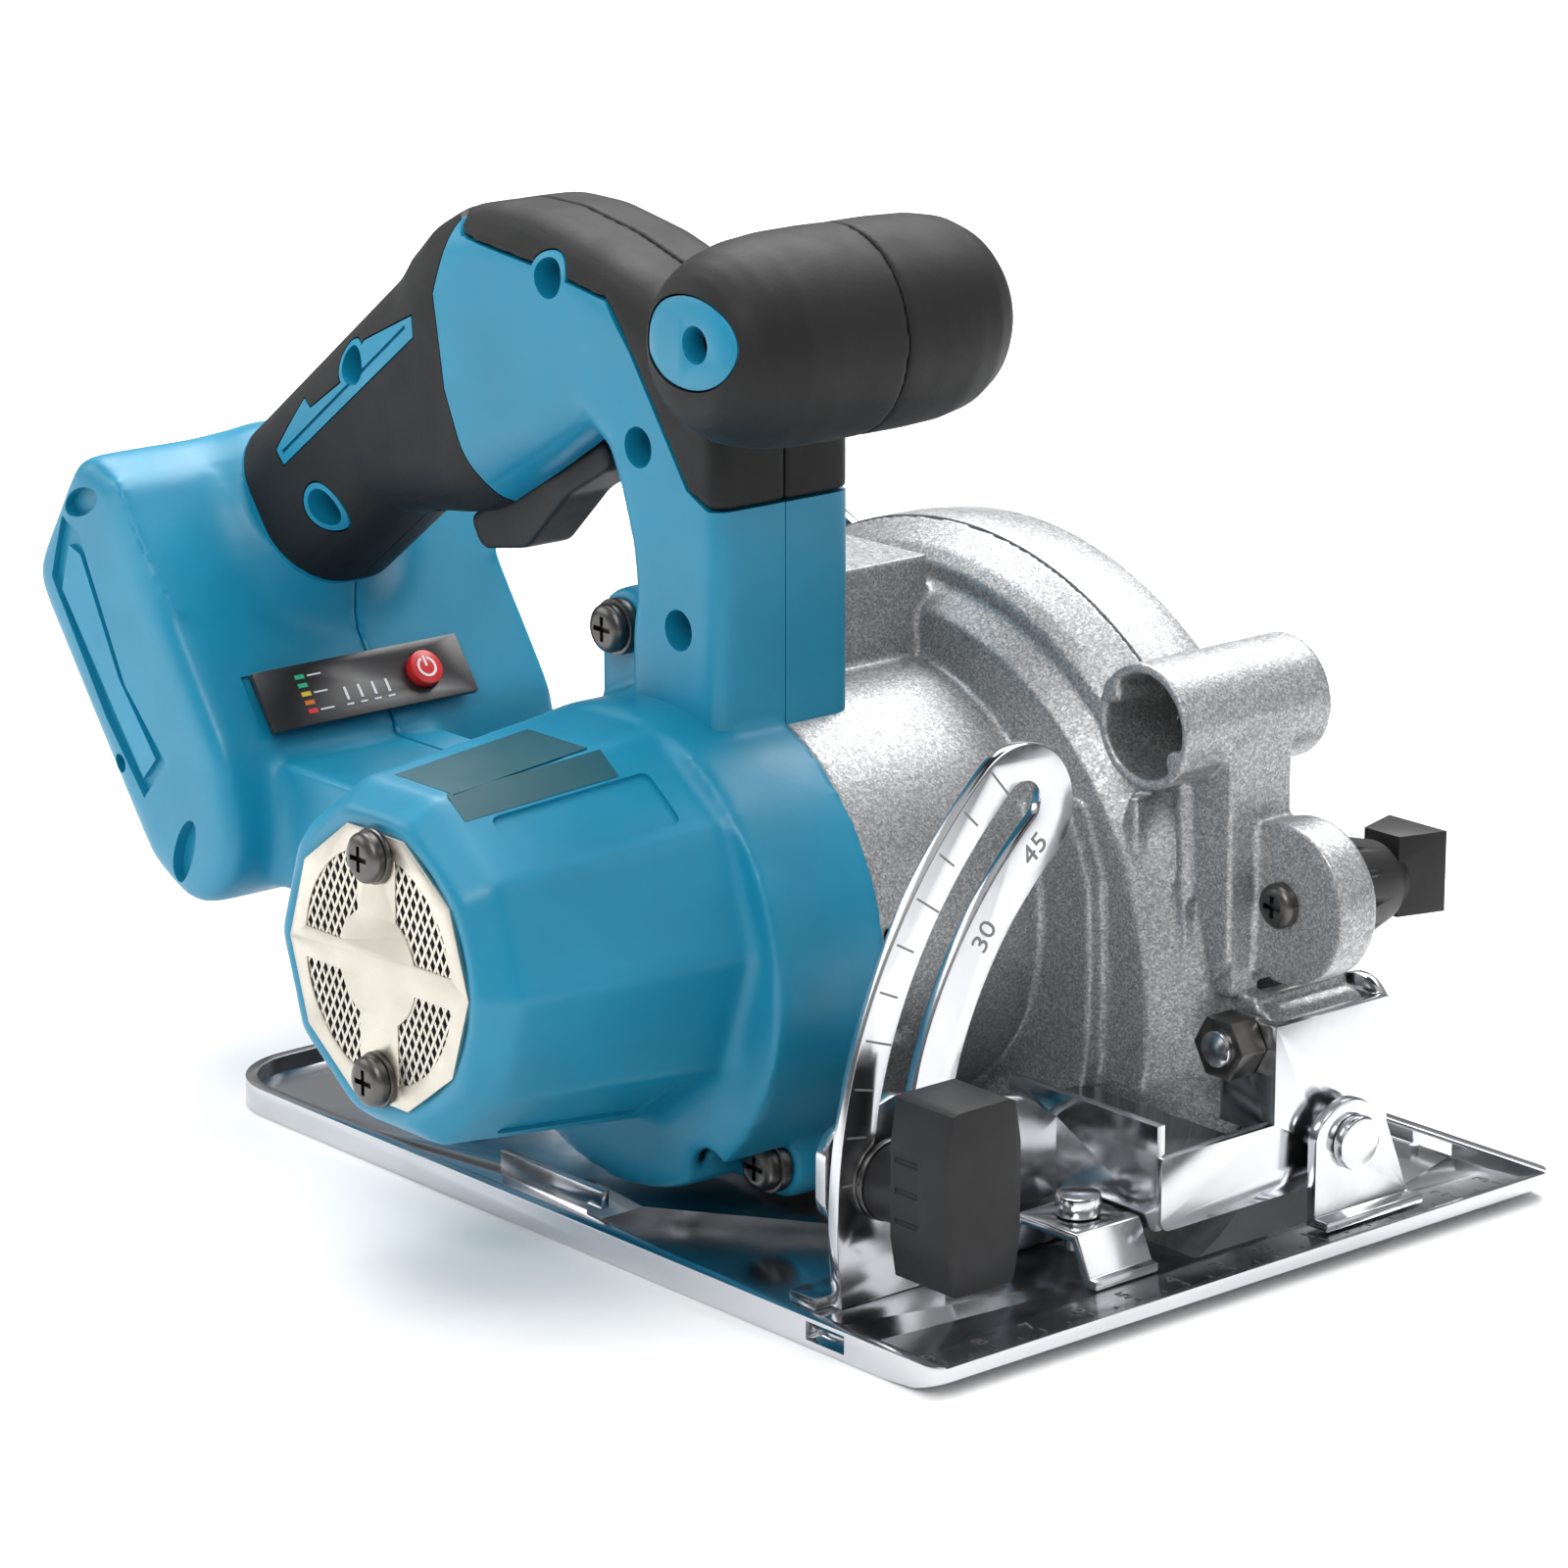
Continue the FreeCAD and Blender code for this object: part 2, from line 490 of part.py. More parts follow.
def spindle_parts():
    node("spindle", rod("spindle", "y", (-49, 8), ARBOR, "spindle_radius"))
    gear = pad("spindle_gear", "y", (-36, -27), wheel_outline(36, 13.6, 15.0, 0.26, 0.11, 90),
               [(0, 0, "spindle_radius")])
    bind(gear, "Placement.Base.z", "arbor_z")
    node("spindle_gear", gear)
    pilot = rod("flange_pilot", "y", (-2.6, 0.8), ARBOR, "blade_bore - 0.03")
    disc = rod("flange_disc", "y", (-2.6, -0.8), ARBOR, 17)
    bore = rod("flange_bore", "y", (-4, 2), ARBOR, "spindle_radius")
    node("inner_flange", cut("inner_flange", fuse("inner_flange_blank", [pilot, disc]), [bore]))
    teeth = int(SIZES["tooth_count"])
    radius = SIZES["blade_radius"]
    outline = []
    for i in range(teeth):
        for part, reach in ((0.0, radius), (0.16, radius - 1.2), (0.62, radius - 2.2),
                            (0.74, radius - 7.5), (0.93, radius - 6.5)):
            angle = -math.radians(360 * (i + part) / teeth)
            outline.append((reach * math.cos(angle), reach * math.sin(angle)))
    disc = pad("blade", "y", ("-blade_sheet / 2", "blade_sheet / 2"), outline, [(0, 0, "blade_bore")])
    bind(disc, "Placement.Base.z", "arbor_z")
    node("saw_blade", disc)
    node("outer_flange", ring("outer_flange", "y", (0.8, 3), ARBOR, 17, "spindle_radius"))
    head = prism("bolt_head", "y", (3.05, 7.4), ARBOR, 7.2)
    node("blade_bolt", cut("blade_bolt", head, [rod("bolt_bore", "y", (2, 9), ARBOR, "spindle_radius")]))


# ------------------------------------------------------------- motor
def motor_parts():
    thin = rod("shaft_nose", "y", (-40, -21), MOTOR, 2.5)
    thick = rod("shaft_body", "y", (-118.5, -40), MOTOR, 4)
    node("rotor_shaft", fuse("rotor_shaft", [thin, thick]))
    pinion = pad("pinion", "y", (-36, -27), wheel_outline(9, 2.85, 4.2, 0.26, 0.11, -70), [(0, 0, 2.5)])
    bind(pinion, "Placement.Base.z", "motor_z")
    node("pinion", pinion)
    node("rotor_core", ring("rotor_core", "y", (-105, -77), MOTOR, 13.4, 4))
    hub = ring("fan_hub", "y", (-70, -62), MOTOR, 9, 4)
    disc = ring("fan_disc", "y", (-64, -62), MOTOR, 25, 4)
    blades = []
    for i in range(9):
        blade = box("fan_blade", (8, 24), (-72, -63), (-0.7, 0.7))
        blade.setExpression("Placement.Base.x", None)
        blade.setExpression("Placement.Base.z", None)
        turn = FreeCAD.Rotation(FreeCAD.Vector(0, 1, 0), 40 * i)
        base = turn.multVec(FreeCAD.Vector(8, 0, -0.7))
        blade.Placement = FreeCAD.Placement(FreeCAD.Vector(base.x, -72, base.z + SIZES["motor_z"]), turn)
        blades.append(blade)
    node("cooling_fan", fuse("cooling_fan", [hub, disc] + blades))
    node("stator", ring("stator", "y", (-106, -76), MOTOR, 25, 13.9))
    motor_bearings = [ring("motor_bearing", "y", (-118, -111), MOTOR, 11, 4),
                      ring("motor_bearing", "y", (-47, -40.5), MOTOR, 9, 4)]
    node("motor_bearings", group("motor_bearings", motor_bearings))
    spindle_bearings = [ring("spindle_bearing", "y", (-16.5, -8.5), ARBOR, 13, 5),
                        ring("spindle_bearing", "y", (-48, -41), ARBOR, 8.5, 5)]
    node("spindle_bearings", group("spindle_bearings", spindle_bearings))
    disc = rod("plate_disc", "y", (-48.5, -41), ("0", "boss_z"), "boss_radius - 3.05")
    seats = [rod("plate_motor_seat", "y", (-50, -40), MOTOR, 9),
             rod("plate_spindle_seat", "y", (-50, -40), ARBOR, 8.5)]
    node("bearing_plate", cut("bearing_plate", disc, seats))


# ------------------------------------------- handle, dock and housings
def dock_point(n, t, radius=0):
    """A point of the XZ plane from distances along the grip and across it."""
    return (GRIP_COS * n + GRIP_SIN * t, GRIP_SIN * n - GRIP_COS * t, radius)


HANDLE = [dock_point(-38, -156), dock_point(28, -156.1), (-62, 149.3, 20), (-53, 154.3, 20),
          (-44, 156.2, 20),
          (-34, 155.8, 20), (-20, 152.6, 20), (-6, 148.2, 20), (6, 143.5, 12), (14, 137, 8), (15.2, 126, 8),
          (15.2, 84), (-7, 84), (-5.8, 99, 10), (-6.2, 105.5, 10), (-9.7, 114.3, 8), (-14.5, 122, 4),
          (-18.5, 122.5, 2), (-46, 104.4, 4), (-51, 102.2), (-58, 101), (-66, 100.5),
          dock_point(0.4, -123.9, 10),
          dock_point(-38, -123.9)]
DOCK = [dock_point(-67, -151, 6), dock_point(-38, -162, 8), dock_point(-32, -150, 8),
        dock_point(-34, -100, 8),
        dock_point(-42, -82, 12), dock_point(-60, -81, 10), dock_point(-67, -95, 8)]
GRIP_ZONE = [dock_point(-28, -175), dock_point(31, -175), (-55.7, 139.4), (-53, 124), (-46.6, 110),
             (-60, 88),
             dock_point(-28, -110)]
TOP_ZONE = [(-72, 146), (-49, 149.5), (-30, 147.2), (-12, 144), (-5.8, 137), (8, 117.5), (13, 115),
            (30, 115),
            (30, 170), (-72, 170)]
SCREWS = ((-88.5, 98.3), (-78.8, 124), (-26, 146), (-3.7, 122.5), (5.9, 95))
BUTTON = (-44, 146)
RIGHT = ("-90", "seam_y")
LEFT = ("seam_y", "-30")


def handle_slab(name, inset):
    """The handle's body with a stepped round side, drawn in on all sides by an inset."""
    core = slab(name + "_core", (f"seam_y - handle_core + {inset} / 2",
                                 f"seam_y + handle_core - {inset} / 2"), HANDLE, inset)
    wide = slab(name + "_wide", (f"seam_y - handle_half + {inset}", f"seam_y + handle_half - {inset}"),
                HANDLE, inset + 3)
    return fuse(name, [core, wide]) if inset else fuse(name,
                                                       [slab(name + "_full",
                                                             ("seam_y - handle_core",
                                                              "seam_y + handle_core"), HANDLE), wide])


def trigger_mouth():
    """The gap in the handle's underside that the trigger slides in."""
    outline = [(-63.5, 90), (-22, 108), (-19, 116), (-30, 127), (-70, 108)]
    return slab("trigger_mouth", ("seam_y - 5.4", "seam_y + 5.4"), outline)


def half(name, thing, side):
    ys = RIGHT if side == "right" else LEFT
    return common(name, thing, box(name + "_half", (-200, 80), ys, (0, 200)))


def overmoulds():
    """The rubber skins of the rear grip and of the handle's top, one of each per side."""
    for side in ("right", "left"):
        for label, zone in (("rear_grip", GRIP_ZONE), ("top_cover", TOP_ZONE)):
            outer = handle_slab(label + "_outer", 0)
            core = handle_slab(label + "_core", 1.95)
            skin = common(label + "_zone", cut(label + "_skin", outer, [core]),
                          slab(label + "_zone", (-90, -30), zone))
            if label == "top_cover":
                neck = slab("bar_neck", ("seam_y - 10", "seam_y + 10"),
                            [(13, 130), (13, 137), (2, 146), (8, 155), (24, 140), (22, 130)])
                bar_room = rod("bar_room", "y", (-90, -20), BAR, "bar_radius + 0.05")
                keep_out = handle_slab("bar_keep_out", 1)
                skin = fuse("top_cover_blank", [skin, cut("bar_neck_cut", neck, [bar_room, keep_out])])
                room = rod("bar_seat", "y", (-90, -20), BAR, "bar_radius + 0.05")
                button = rod("button_well", "y", ("seam_y", -40), BUTTON, 3.55)
                wells = [rod("top_well", "y", (-80, "seam_y"), SCREWS[2], 4.65), room, button]
            else:
                wells = [rod("grip_well", "y", (-80, "seam_y"), spot, 4.65) for spot in SCREWS[:2]]
                wells.append(trigger_mouth())
            skin = cut(label + "_wells", skin, wells)
            node(f"{label}_{side}", half(f"{label}_{side}", skin, side))


def housing_rough(side):
    """Handle, dock and motor shell of one half, before its screws are drilled."""
    core = handle_slab("housing_core", 2)
    zones = [slab("zone_grip", (-90, -30), GRIP_ZONE), slab("zone_top", (-90, -30), TOP_ZONE)]
    panels = cut("housing_panels", handle_slab("housing_outer", 0), zones)
    dock = slab("dock_outer", ("dock_right", "dock_left"), DOCK)
    bridge = box("bridge", (-92, -30), (-84, -49), (34, 57))
    solids = [core, panels, dock, bridge]
    rooms = [slab("handle_room", ("seam_y - 8", "seam_y + 8"), HANDLE, 4.4),
             slab("dock_room", ("dock_right + shell", "dock_left - shell"), DOCK, 2.5),
             box("bridge_room", (-96, -28), (-81.5, -51.5), (36.5, 54.5)),
             box("battery_mouth", (-13, 13), (-85, -31), (-34, 34))]
    mouth = rooms[-1]
    for letter in "xyz":
        mouth.setExpression(f"Placement.Base.{letter}", None)
    turn = FreeCAD.Rotation(FreeCAD.Vector(0, 1, 0), math.degrees(math.atan2(-GRIP_SIN, GRIP_COS)))
    centre = dock_point(-70, -121)
    base = turn.multVec(FreeCAD.Vector(-13, 0, -30))
    mouth.Placement = FreeCAD.Placement(FreeCAD.Vector(centre[0] + base.x, -85, centre[1] + base.z), turn)
    mouth.setExpression("Height", None)
    mouth.Height = 60
    if side == "right":
        flange = rod("flange", "y", ("barrel_root", "seam_y"), ("0", "flange_z"), "flange_radius")
        barrel = prism_loft("barrel", ("barrel_bevel", "barrel_root + 1"), ("barrel_small", "barrel_large"))
        nose = prism_loft("barrel_nose", ("barrel_end", "barrel_bevel"), ("barrel_mouth", "barrel_small"))
        post = box("post_foot", (-9, 15.2), (-69, "seam_y"), (74, 90))
        lugs = [rod("housing_lug", "y", (-66, "seam_y"), spot, 6) for spot in LUGS]
        webs = [box("lug_web", (12, 24), (-66, "seam_y"), (5.5, 20)),
                box("lug_web", (-21, -5), (-66, "seam_y"), (78, 92)),
                box("lug_web", (-43, -30), (-66, "seam_y"), (23, 40))]
        solids += [flange, barrel, nose, post] + lugs + webs
        rooms += [rod("flange_room", "y", ("barrel_root + 2.5", "seam_y + 1"), ("0", "flange_z"),
                      "flange_radius - shell"),
                  cone("barrel_room", "y", ("barrel_end + 3.5", "barrel_root + 3"), MOTOR, (25.15, 28.5)),
                  rod("plate_recess", "y", ("barrel_end - 1", "barrel_end + 1"), MOTOR, 22.8),
                  cut("air_inlet", rod("air_inlet_disc", "y", ("barrel_end - 1", "barrel_end + 4"), MOTOR,
                                       20.5),
                      [rod("air_hub", "y", ("barrel_end - 2", "barrel_end + 5"), MOTOR, 12.5),
                       box("air_rib", (-25, 25), (-130, -120), (47.5, 52.5)),
                       box("air_rib", (-2.5, 2.5), (-130, -120), (25, 75))])]
    body = cut("housing_hollow", fuse("housing_solid", solids), rooms)
    extras = []
    if side == "right":
        extras.append(ring("bearing_cup", "y", (-124, -111), MOTOR, 13, 11))
        for spot in LUGS:
            limit = rod("seat_limit", "y", ("barrel_root", "seam_y"), ("0", "flange_z"), "flange_radius")
            extras.append(common("screw_seat", rod("seat_rod", "y", (-76, "seam_y"), spot, 6.6), limit))
    return body, extras


def prism_loft(name, span, radii):
    """A ten-sided barrel that tapers between two circumradii."""
    polygons = []
    for end, radius in zip(span, radii):
        polygon = new("Part::RegularPolygon", name + "_outline")
        polygon.Polygon = 10
        bind(polygon, "Circumradius", radius)
        polygons.append(along(polygon, "y", end, MOTOR))
    loft = new("Part::Loft", name)
    loft.Sections = polygons
    loft.Solid = True
    loft.Ruled = True
    return loft


def housings():
    for side in ("right", "left"):
        body, extras = housing_rough(side)
        bosses, wells = [], []
        for spot in SCREWS:
            if side == "right":
                bosses.append(rod("screw_boss", "y", (-70.5, "seam_y"), spot, 4.6))
                wells += [rod("screw_well", "y", (-80, -64), spot, 3.4),
                          rod("screw_hole", "y", (-65, "seam_y + 1"), spot, 1.6)]
            else:
                bosses.append(rod("screw_boss", "y", ("seam_y", -48.6), spot, 3.8))
                wells.append(rod("screw_hole", "y", ("seam_y - 1", -49.2), spot, 1.5))
        if side == "right":
            whole = common("housing_right_half", fuse("housing_with_bosses", [body] + bosses + extras),
                           box("right_side", (-200, 80), (-130, "seam_y"), (0, 200)))
            for spot in LUGS:
                wells += [rod("lug_hole", "y", (-70, "seam_y + 1"), spot, 1.9),
                          rod("lug_well", "y", (-82, -66.02), spot, 4.9)]
            wells += [rod("plate_screw_hole", "y", (-128, -123), spot, 1.6) for spot in PLATE_SCREWS]
        else:
            whole = common("housing_left_half", fuse("housing_all", [body] + bosses),
                           box("left_side", (-200, 80), ("seam_y", -20), (0, 200)))
            wells += [box("post_gap", (-30, 30), ("seam_y - 1", -20), (20, 84)),
                      rod("boss_gap", "y", ("seam_y - 1", -20), ("0", "boss_z"), "boss_radius + 0.3"),
                      rod("button_hole", "y", (-51, -40), BUTTON, 3.5)]
        node(f"{side}_housing", cut(f"{side}_housing", whole, wells + [trigger_mouth()]))


def fasteners():
    def pan_screw(axis_y, spot, head, shank):
        """A pan-head screw whose head faces the saw's right, at the lower end of its shank's run."""
        low, high = axis_y
        return fuse("pan_screw", [rod("screw_head", "y", (low - 2.2, low), spot, head),
                                  rod("screw_shank", "y", (low, high), spot, shank)])
    node("handle_screws", group("handle_screws",
                                [pan_screw((-64.05, -49.4), spot, 3.1, 1.4) for spot in SCREWS]))
    node("flange_screws", group("flange_screws",
                                [pan_screw((-68.3, -50.2), spot, 4, 1.6) for spot in LUGS]))
    washers = [ring("flange_washer", "y", (-68.2, -66.05), spot, 4.6, 1.7) for spot in LUGS]
    screws = [fuse("plate_screw", [rod("plate_head", "y", (-130.2, -128), s, 4),
                                   rod("plate_shank", "y", (-128, -124.2), s, 1.5)]) for s in PLATE_SCREWS]
    node("end_plate_screws", group("end_plate_screws", screws))
    washers += [ring("plate_washer", "y", (-127.9, -126.95), s, 4.4, 1.6) for s in PLATE_SCREWS]
    node("screw_washers", group("screw_washers", washers))
    node("pivot_bolt", fuse("pivot_bolt", [rod("pivot_shank", "y", (-19.8, 12.05), PIVOT, "pivot_radius"),
                                           rod("pivot_head", "y", (12.05, 14), PIVOT, 6)]))
    node("pivot_nut", cut("pivot_nut", prism("pivot_nut_hex", "y", (-19, -13.6), PIVOT, 5.4),
                          [rod("nut_bore", "y", (-20, -12), PIVOT, "pivot_radius")]))


def end_plate():
    plate = prism("plate_decagon", "y", ("barrel_end + 0.05", "barrel_end + 1"), MOTOR, 22.6, 10)
    sectors = cut("plate_sectors", rod("plate_ring", "y", ("barrel_end - 1", "barrel_end + 2"), MOTOR,
                                       18.5),
                  [rod("plate_hub", "y", ("barrel_end - 2", "barrel_end + 3"), MOTOR, 9.5),
                   box("plate_rib", (-25, 25), (-130, -120), (47.5, 52.5)),
                   box("plate_rib", (-4.8, 4.8), (-130, -120), (25, 75))])
    holes = [rod("plate_hole", "y", (-129, -120), spot, 1.6) for spot in PLATE_SCREWS]
    node("motor_end_plate", cut("motor_end_plate", plate, [sectors] + holes))


def grip_bar():
    """The front handle: two rubbered halves that meet on the seam, with an inset on the right end."""
    shell = "bar_radius - 5"
    right = fuse("bar_right_blank", [rod("bar_right_body", "y", ("bar_right + 9", "seam_y"), BAR,
                                         "bar_radius"),
                                     cone("bar_right_end", "y", ("bar_right", "bar_right + 9"), BAR,
                                          (11, "bar_radius"))])
    left = fuse("bar_left_blank", [rod("bar_left_body", "y", ("seam_y", "bar_left - 10"), BAR,
                                       "bar_radius"),
                                   cone("bar_left_end", "y", ("bar_left - 10", "bar_left"), BAR,
                                        ("bar_radius", 9))])
    room = rod("bar_room", "y", ("bar_right + 6", "bar_left - 4"), BAR, shell)
    seat = rod("inset_seat", "y", ("bar_right - 1", "bar_right + 2"), BAR, 8.6)
    hole = rod("bar_screw_hole", "y", ("bar_right - 1", "bar_right + 8"), BAR, 3.2)
    node("front_grip_right", cut("front_grip_right", right, [room, seat, hole]))
    node("front_grip_left", cut("front_grip_left", left, [room]))
    node("front_grip_inset", ring("front_grip_inset", "y", ("bar_right + 0.4", "bar_right + 2"), BAR,
                                  8.55, 3.2))


def controls():
    trigger = slab("trigger_blade", ("seam_y - 4.9", "seam_y + 4.9"),
                   [(-59, 100.5, 1.5), (-56, 95.6, 3), (-44, 97.8, 4), (-33, 108.5, 6), (-21.5, 115, 2),
                    (-24, 119, 1), (-36, 112), (-48, 108)])
    node("trigger", trigger)
    node("trigger_switch", box("trigger_switch", (-50, -28), ("seam_y - 7", "seam_y + 7"), (126, 142)))
    node("lock_off_button", rod("lock_off_button", "y", (-50.4, -40.6), BUTTON, 3.4))
    turn = math.degrees(math.atan2(-GRIP_SIN, GRIP_COS))
    def tilted(name, n, ys, t):
        thing = new("Part::Box", name)
        thing.Length, thing.Height = n[1] - n[0], t[1] - t[0]
        bind(thing, "Width", f"({ys[1]}) - ({ys[0]})")
        corner = dock_point(n[0], t[1])
        thing.Placement = FreeCAD.Placement(FreeCAD.Vector(corner[0], SIZES["seam_y"], corner[1]),
                                            FreeCAD.Rotation(FreeCAD.Vector(0, 1, 0), turn))
        bind(thing, "Placement.Base.y", ys[0])
        return thing

    def upright(name, n, t, y, radius):
        """A round peg that stands on the dock's face, between two distances along the grip."""
        peg = new("Part::Cylinder", name)
        peg.Radius, peg.Height = radius, n[1] - n[0]
        foot = dock_point(n[0], t)
        peg.Placement = FreeCAD.Placement(FreeCAD.Vector(foot[0], y, foot[1]),
                                          FreeCAD.Rotation(FreeCAD.Vector(0, 1, 0), 90 + turn))
        return peg
    hole = upright("button_hole", (-33.4, -30), -106.5, -50.6, 3.4)
    node("status_panel", cut("status_panel", tilted("panel_plate", (-32.4, -31), (-84, -41), (-112, -101)),
                             [hole]))
    node("power_button", upright("power_button", (-31.7, -29.4), -106.5, -50.6, 3.2))
    node("control_board", tilted("control_board", (-43.4, -41.6), (-86, -30), (-118, -98)))
    node("battery_terminals", tilted("battery_terminals", (-58, -50), (-74, -42), (-134, -104)))


def nose_parts():
    collar = cone("knob_collar_cone", "y", ("nose_left + 0.2", 12), NOSE, (10, 6.6))
    node("knob_collar", cut("knob_collar", collar, [rod("collar_bore", "y", (-2, 14), NOSE, 2.1)]))
    paddle = pad("paddle", "y", (12.5, 22), [(-6.5, 8, 1), (-6.5, -6, 1), (6.5, -6, 1), (6.5, 8, 1)])
    for letter, text in (("x", "nose_x"), ("z", "nose_z")):
        bind(paddle, f"Placement.Base.{letter}", text)
    node("nose_knob", paddle)
    screw = fuse("nose_screw", [rod("nose_screw_head", "y", ("nose_right - 2.4", "nose_right - 0.05"),
                                    NOSE, 3.6),
                                rod("nose_screw_shank", "y", ("nose_right - 0.05", 12.3), NOSE, 2)])
    node("nose_screw", screw)


def depth_lock():
    at = (SIZES["pivot_x"] - SIZES["guide_radius"], SIZES["pivot_z"])
    bolt = fuse("depth_lock_bolt", [rod("depth_shank", "y", ("case_left + 0.05", 21), at, 2.5),
                                    rod("depth_head", "y", ("case_left + 0.05", 12.3), at, 4.4)])
    node("depth_lock_bolt", bolt)
    hub = rod("lever_hub", "y", (14.8, 20.5), at, 6)
    arm = pad("lever_arm", "y", (15.4, 19.4), [(at[0] - 44, at[1] + 6, 3), (at[0] - 44, at[1] + 16, 4),
                                               (at[0], at[1] + 5), (at[0], at[1] - 5)])
    node("depth_lock_lever", cut("depth_lock_lever", fuse("lever_blank", [hub, arm]),
                                 [rod("lever_bore", "y", (14, 22), at, 2.55)]))


base_plate()
quadrant()
hinge_ear("front_hinge_ear", "ear_x", 1)
hinge_ear("rear_hinge_ear", "-80", -1)
hinge_rivets()
fence_clamp()
tilt_bracket()
depth_guide()
bevel_lock()
gear_case()
blade_cover()
lower_guard()
spindle_parts()
motor_parts()
overmoulds()
housings()
fasteners()
end_plate()
grip_bar()
controls()
nose_parts()
depth_lock()

doc.recompute()
failed = [f"{thing.Name}: {thing.State}" for thing in doc.Objects
          if {"Invalid", "Error"} & set(thing.State)]
for thing in nodes:
    if thing.Shape.isNull() or not thing.Shape.isValid() or not thing.Shape.Solids:
        failed.append(f"{thing.Label}: no valid solid")
if failed:
    raise SystemExit("part.py stopped: " + "; ".join(failed))
os.makedirs("parts", exist_ok=True)
for thing in nodes:
    thing.Shape.exportStep(f"parts/{thing.Label}.step")
    box_m = thing.Shape.BoundBox
    print(f"{thing.Label}: {len(thing.Shape.Solids)} solids, {thing.Shape.Volume / 1000:.1f} cm3,"
          f" X {box_m.XMin:.1f} {box_m.XMax:.1f} Y {box_m.YMin:.1f} {box_m.YMax:.1f} Z {box_m.ZMin:.1f} {box_m.ZMax:.1f}")
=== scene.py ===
import json
import math

import bmesh
import bpy
import numpy as np
from mathutils import Matrix, Vector


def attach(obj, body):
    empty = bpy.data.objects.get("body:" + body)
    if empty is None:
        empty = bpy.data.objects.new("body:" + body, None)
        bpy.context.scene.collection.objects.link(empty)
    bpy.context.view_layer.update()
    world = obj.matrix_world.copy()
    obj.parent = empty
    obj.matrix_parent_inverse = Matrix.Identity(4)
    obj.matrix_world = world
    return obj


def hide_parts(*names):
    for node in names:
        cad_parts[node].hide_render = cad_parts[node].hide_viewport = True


# A small cordless circular saw. Every length below is in millimetres in the row frame:
# +X along the cut, +Y to the saw's left, +Z up, with the origin on the sole under the arbor.
MM = 0.001

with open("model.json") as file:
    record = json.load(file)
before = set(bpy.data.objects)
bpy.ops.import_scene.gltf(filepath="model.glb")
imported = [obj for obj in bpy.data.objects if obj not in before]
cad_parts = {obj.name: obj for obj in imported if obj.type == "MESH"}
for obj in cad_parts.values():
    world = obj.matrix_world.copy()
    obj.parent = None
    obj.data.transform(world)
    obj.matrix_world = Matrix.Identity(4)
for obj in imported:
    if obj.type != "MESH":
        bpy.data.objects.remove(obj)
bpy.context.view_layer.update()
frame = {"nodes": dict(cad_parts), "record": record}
NODES = frame["nodes"]
BODY_OF = {node: body for body, members in frame["record"]["behaviour"]["bodies"].items() for node in members}
SLOT_OF = {part["node"]: part["material_slot"] for part in frame["record"]["subparts"]}


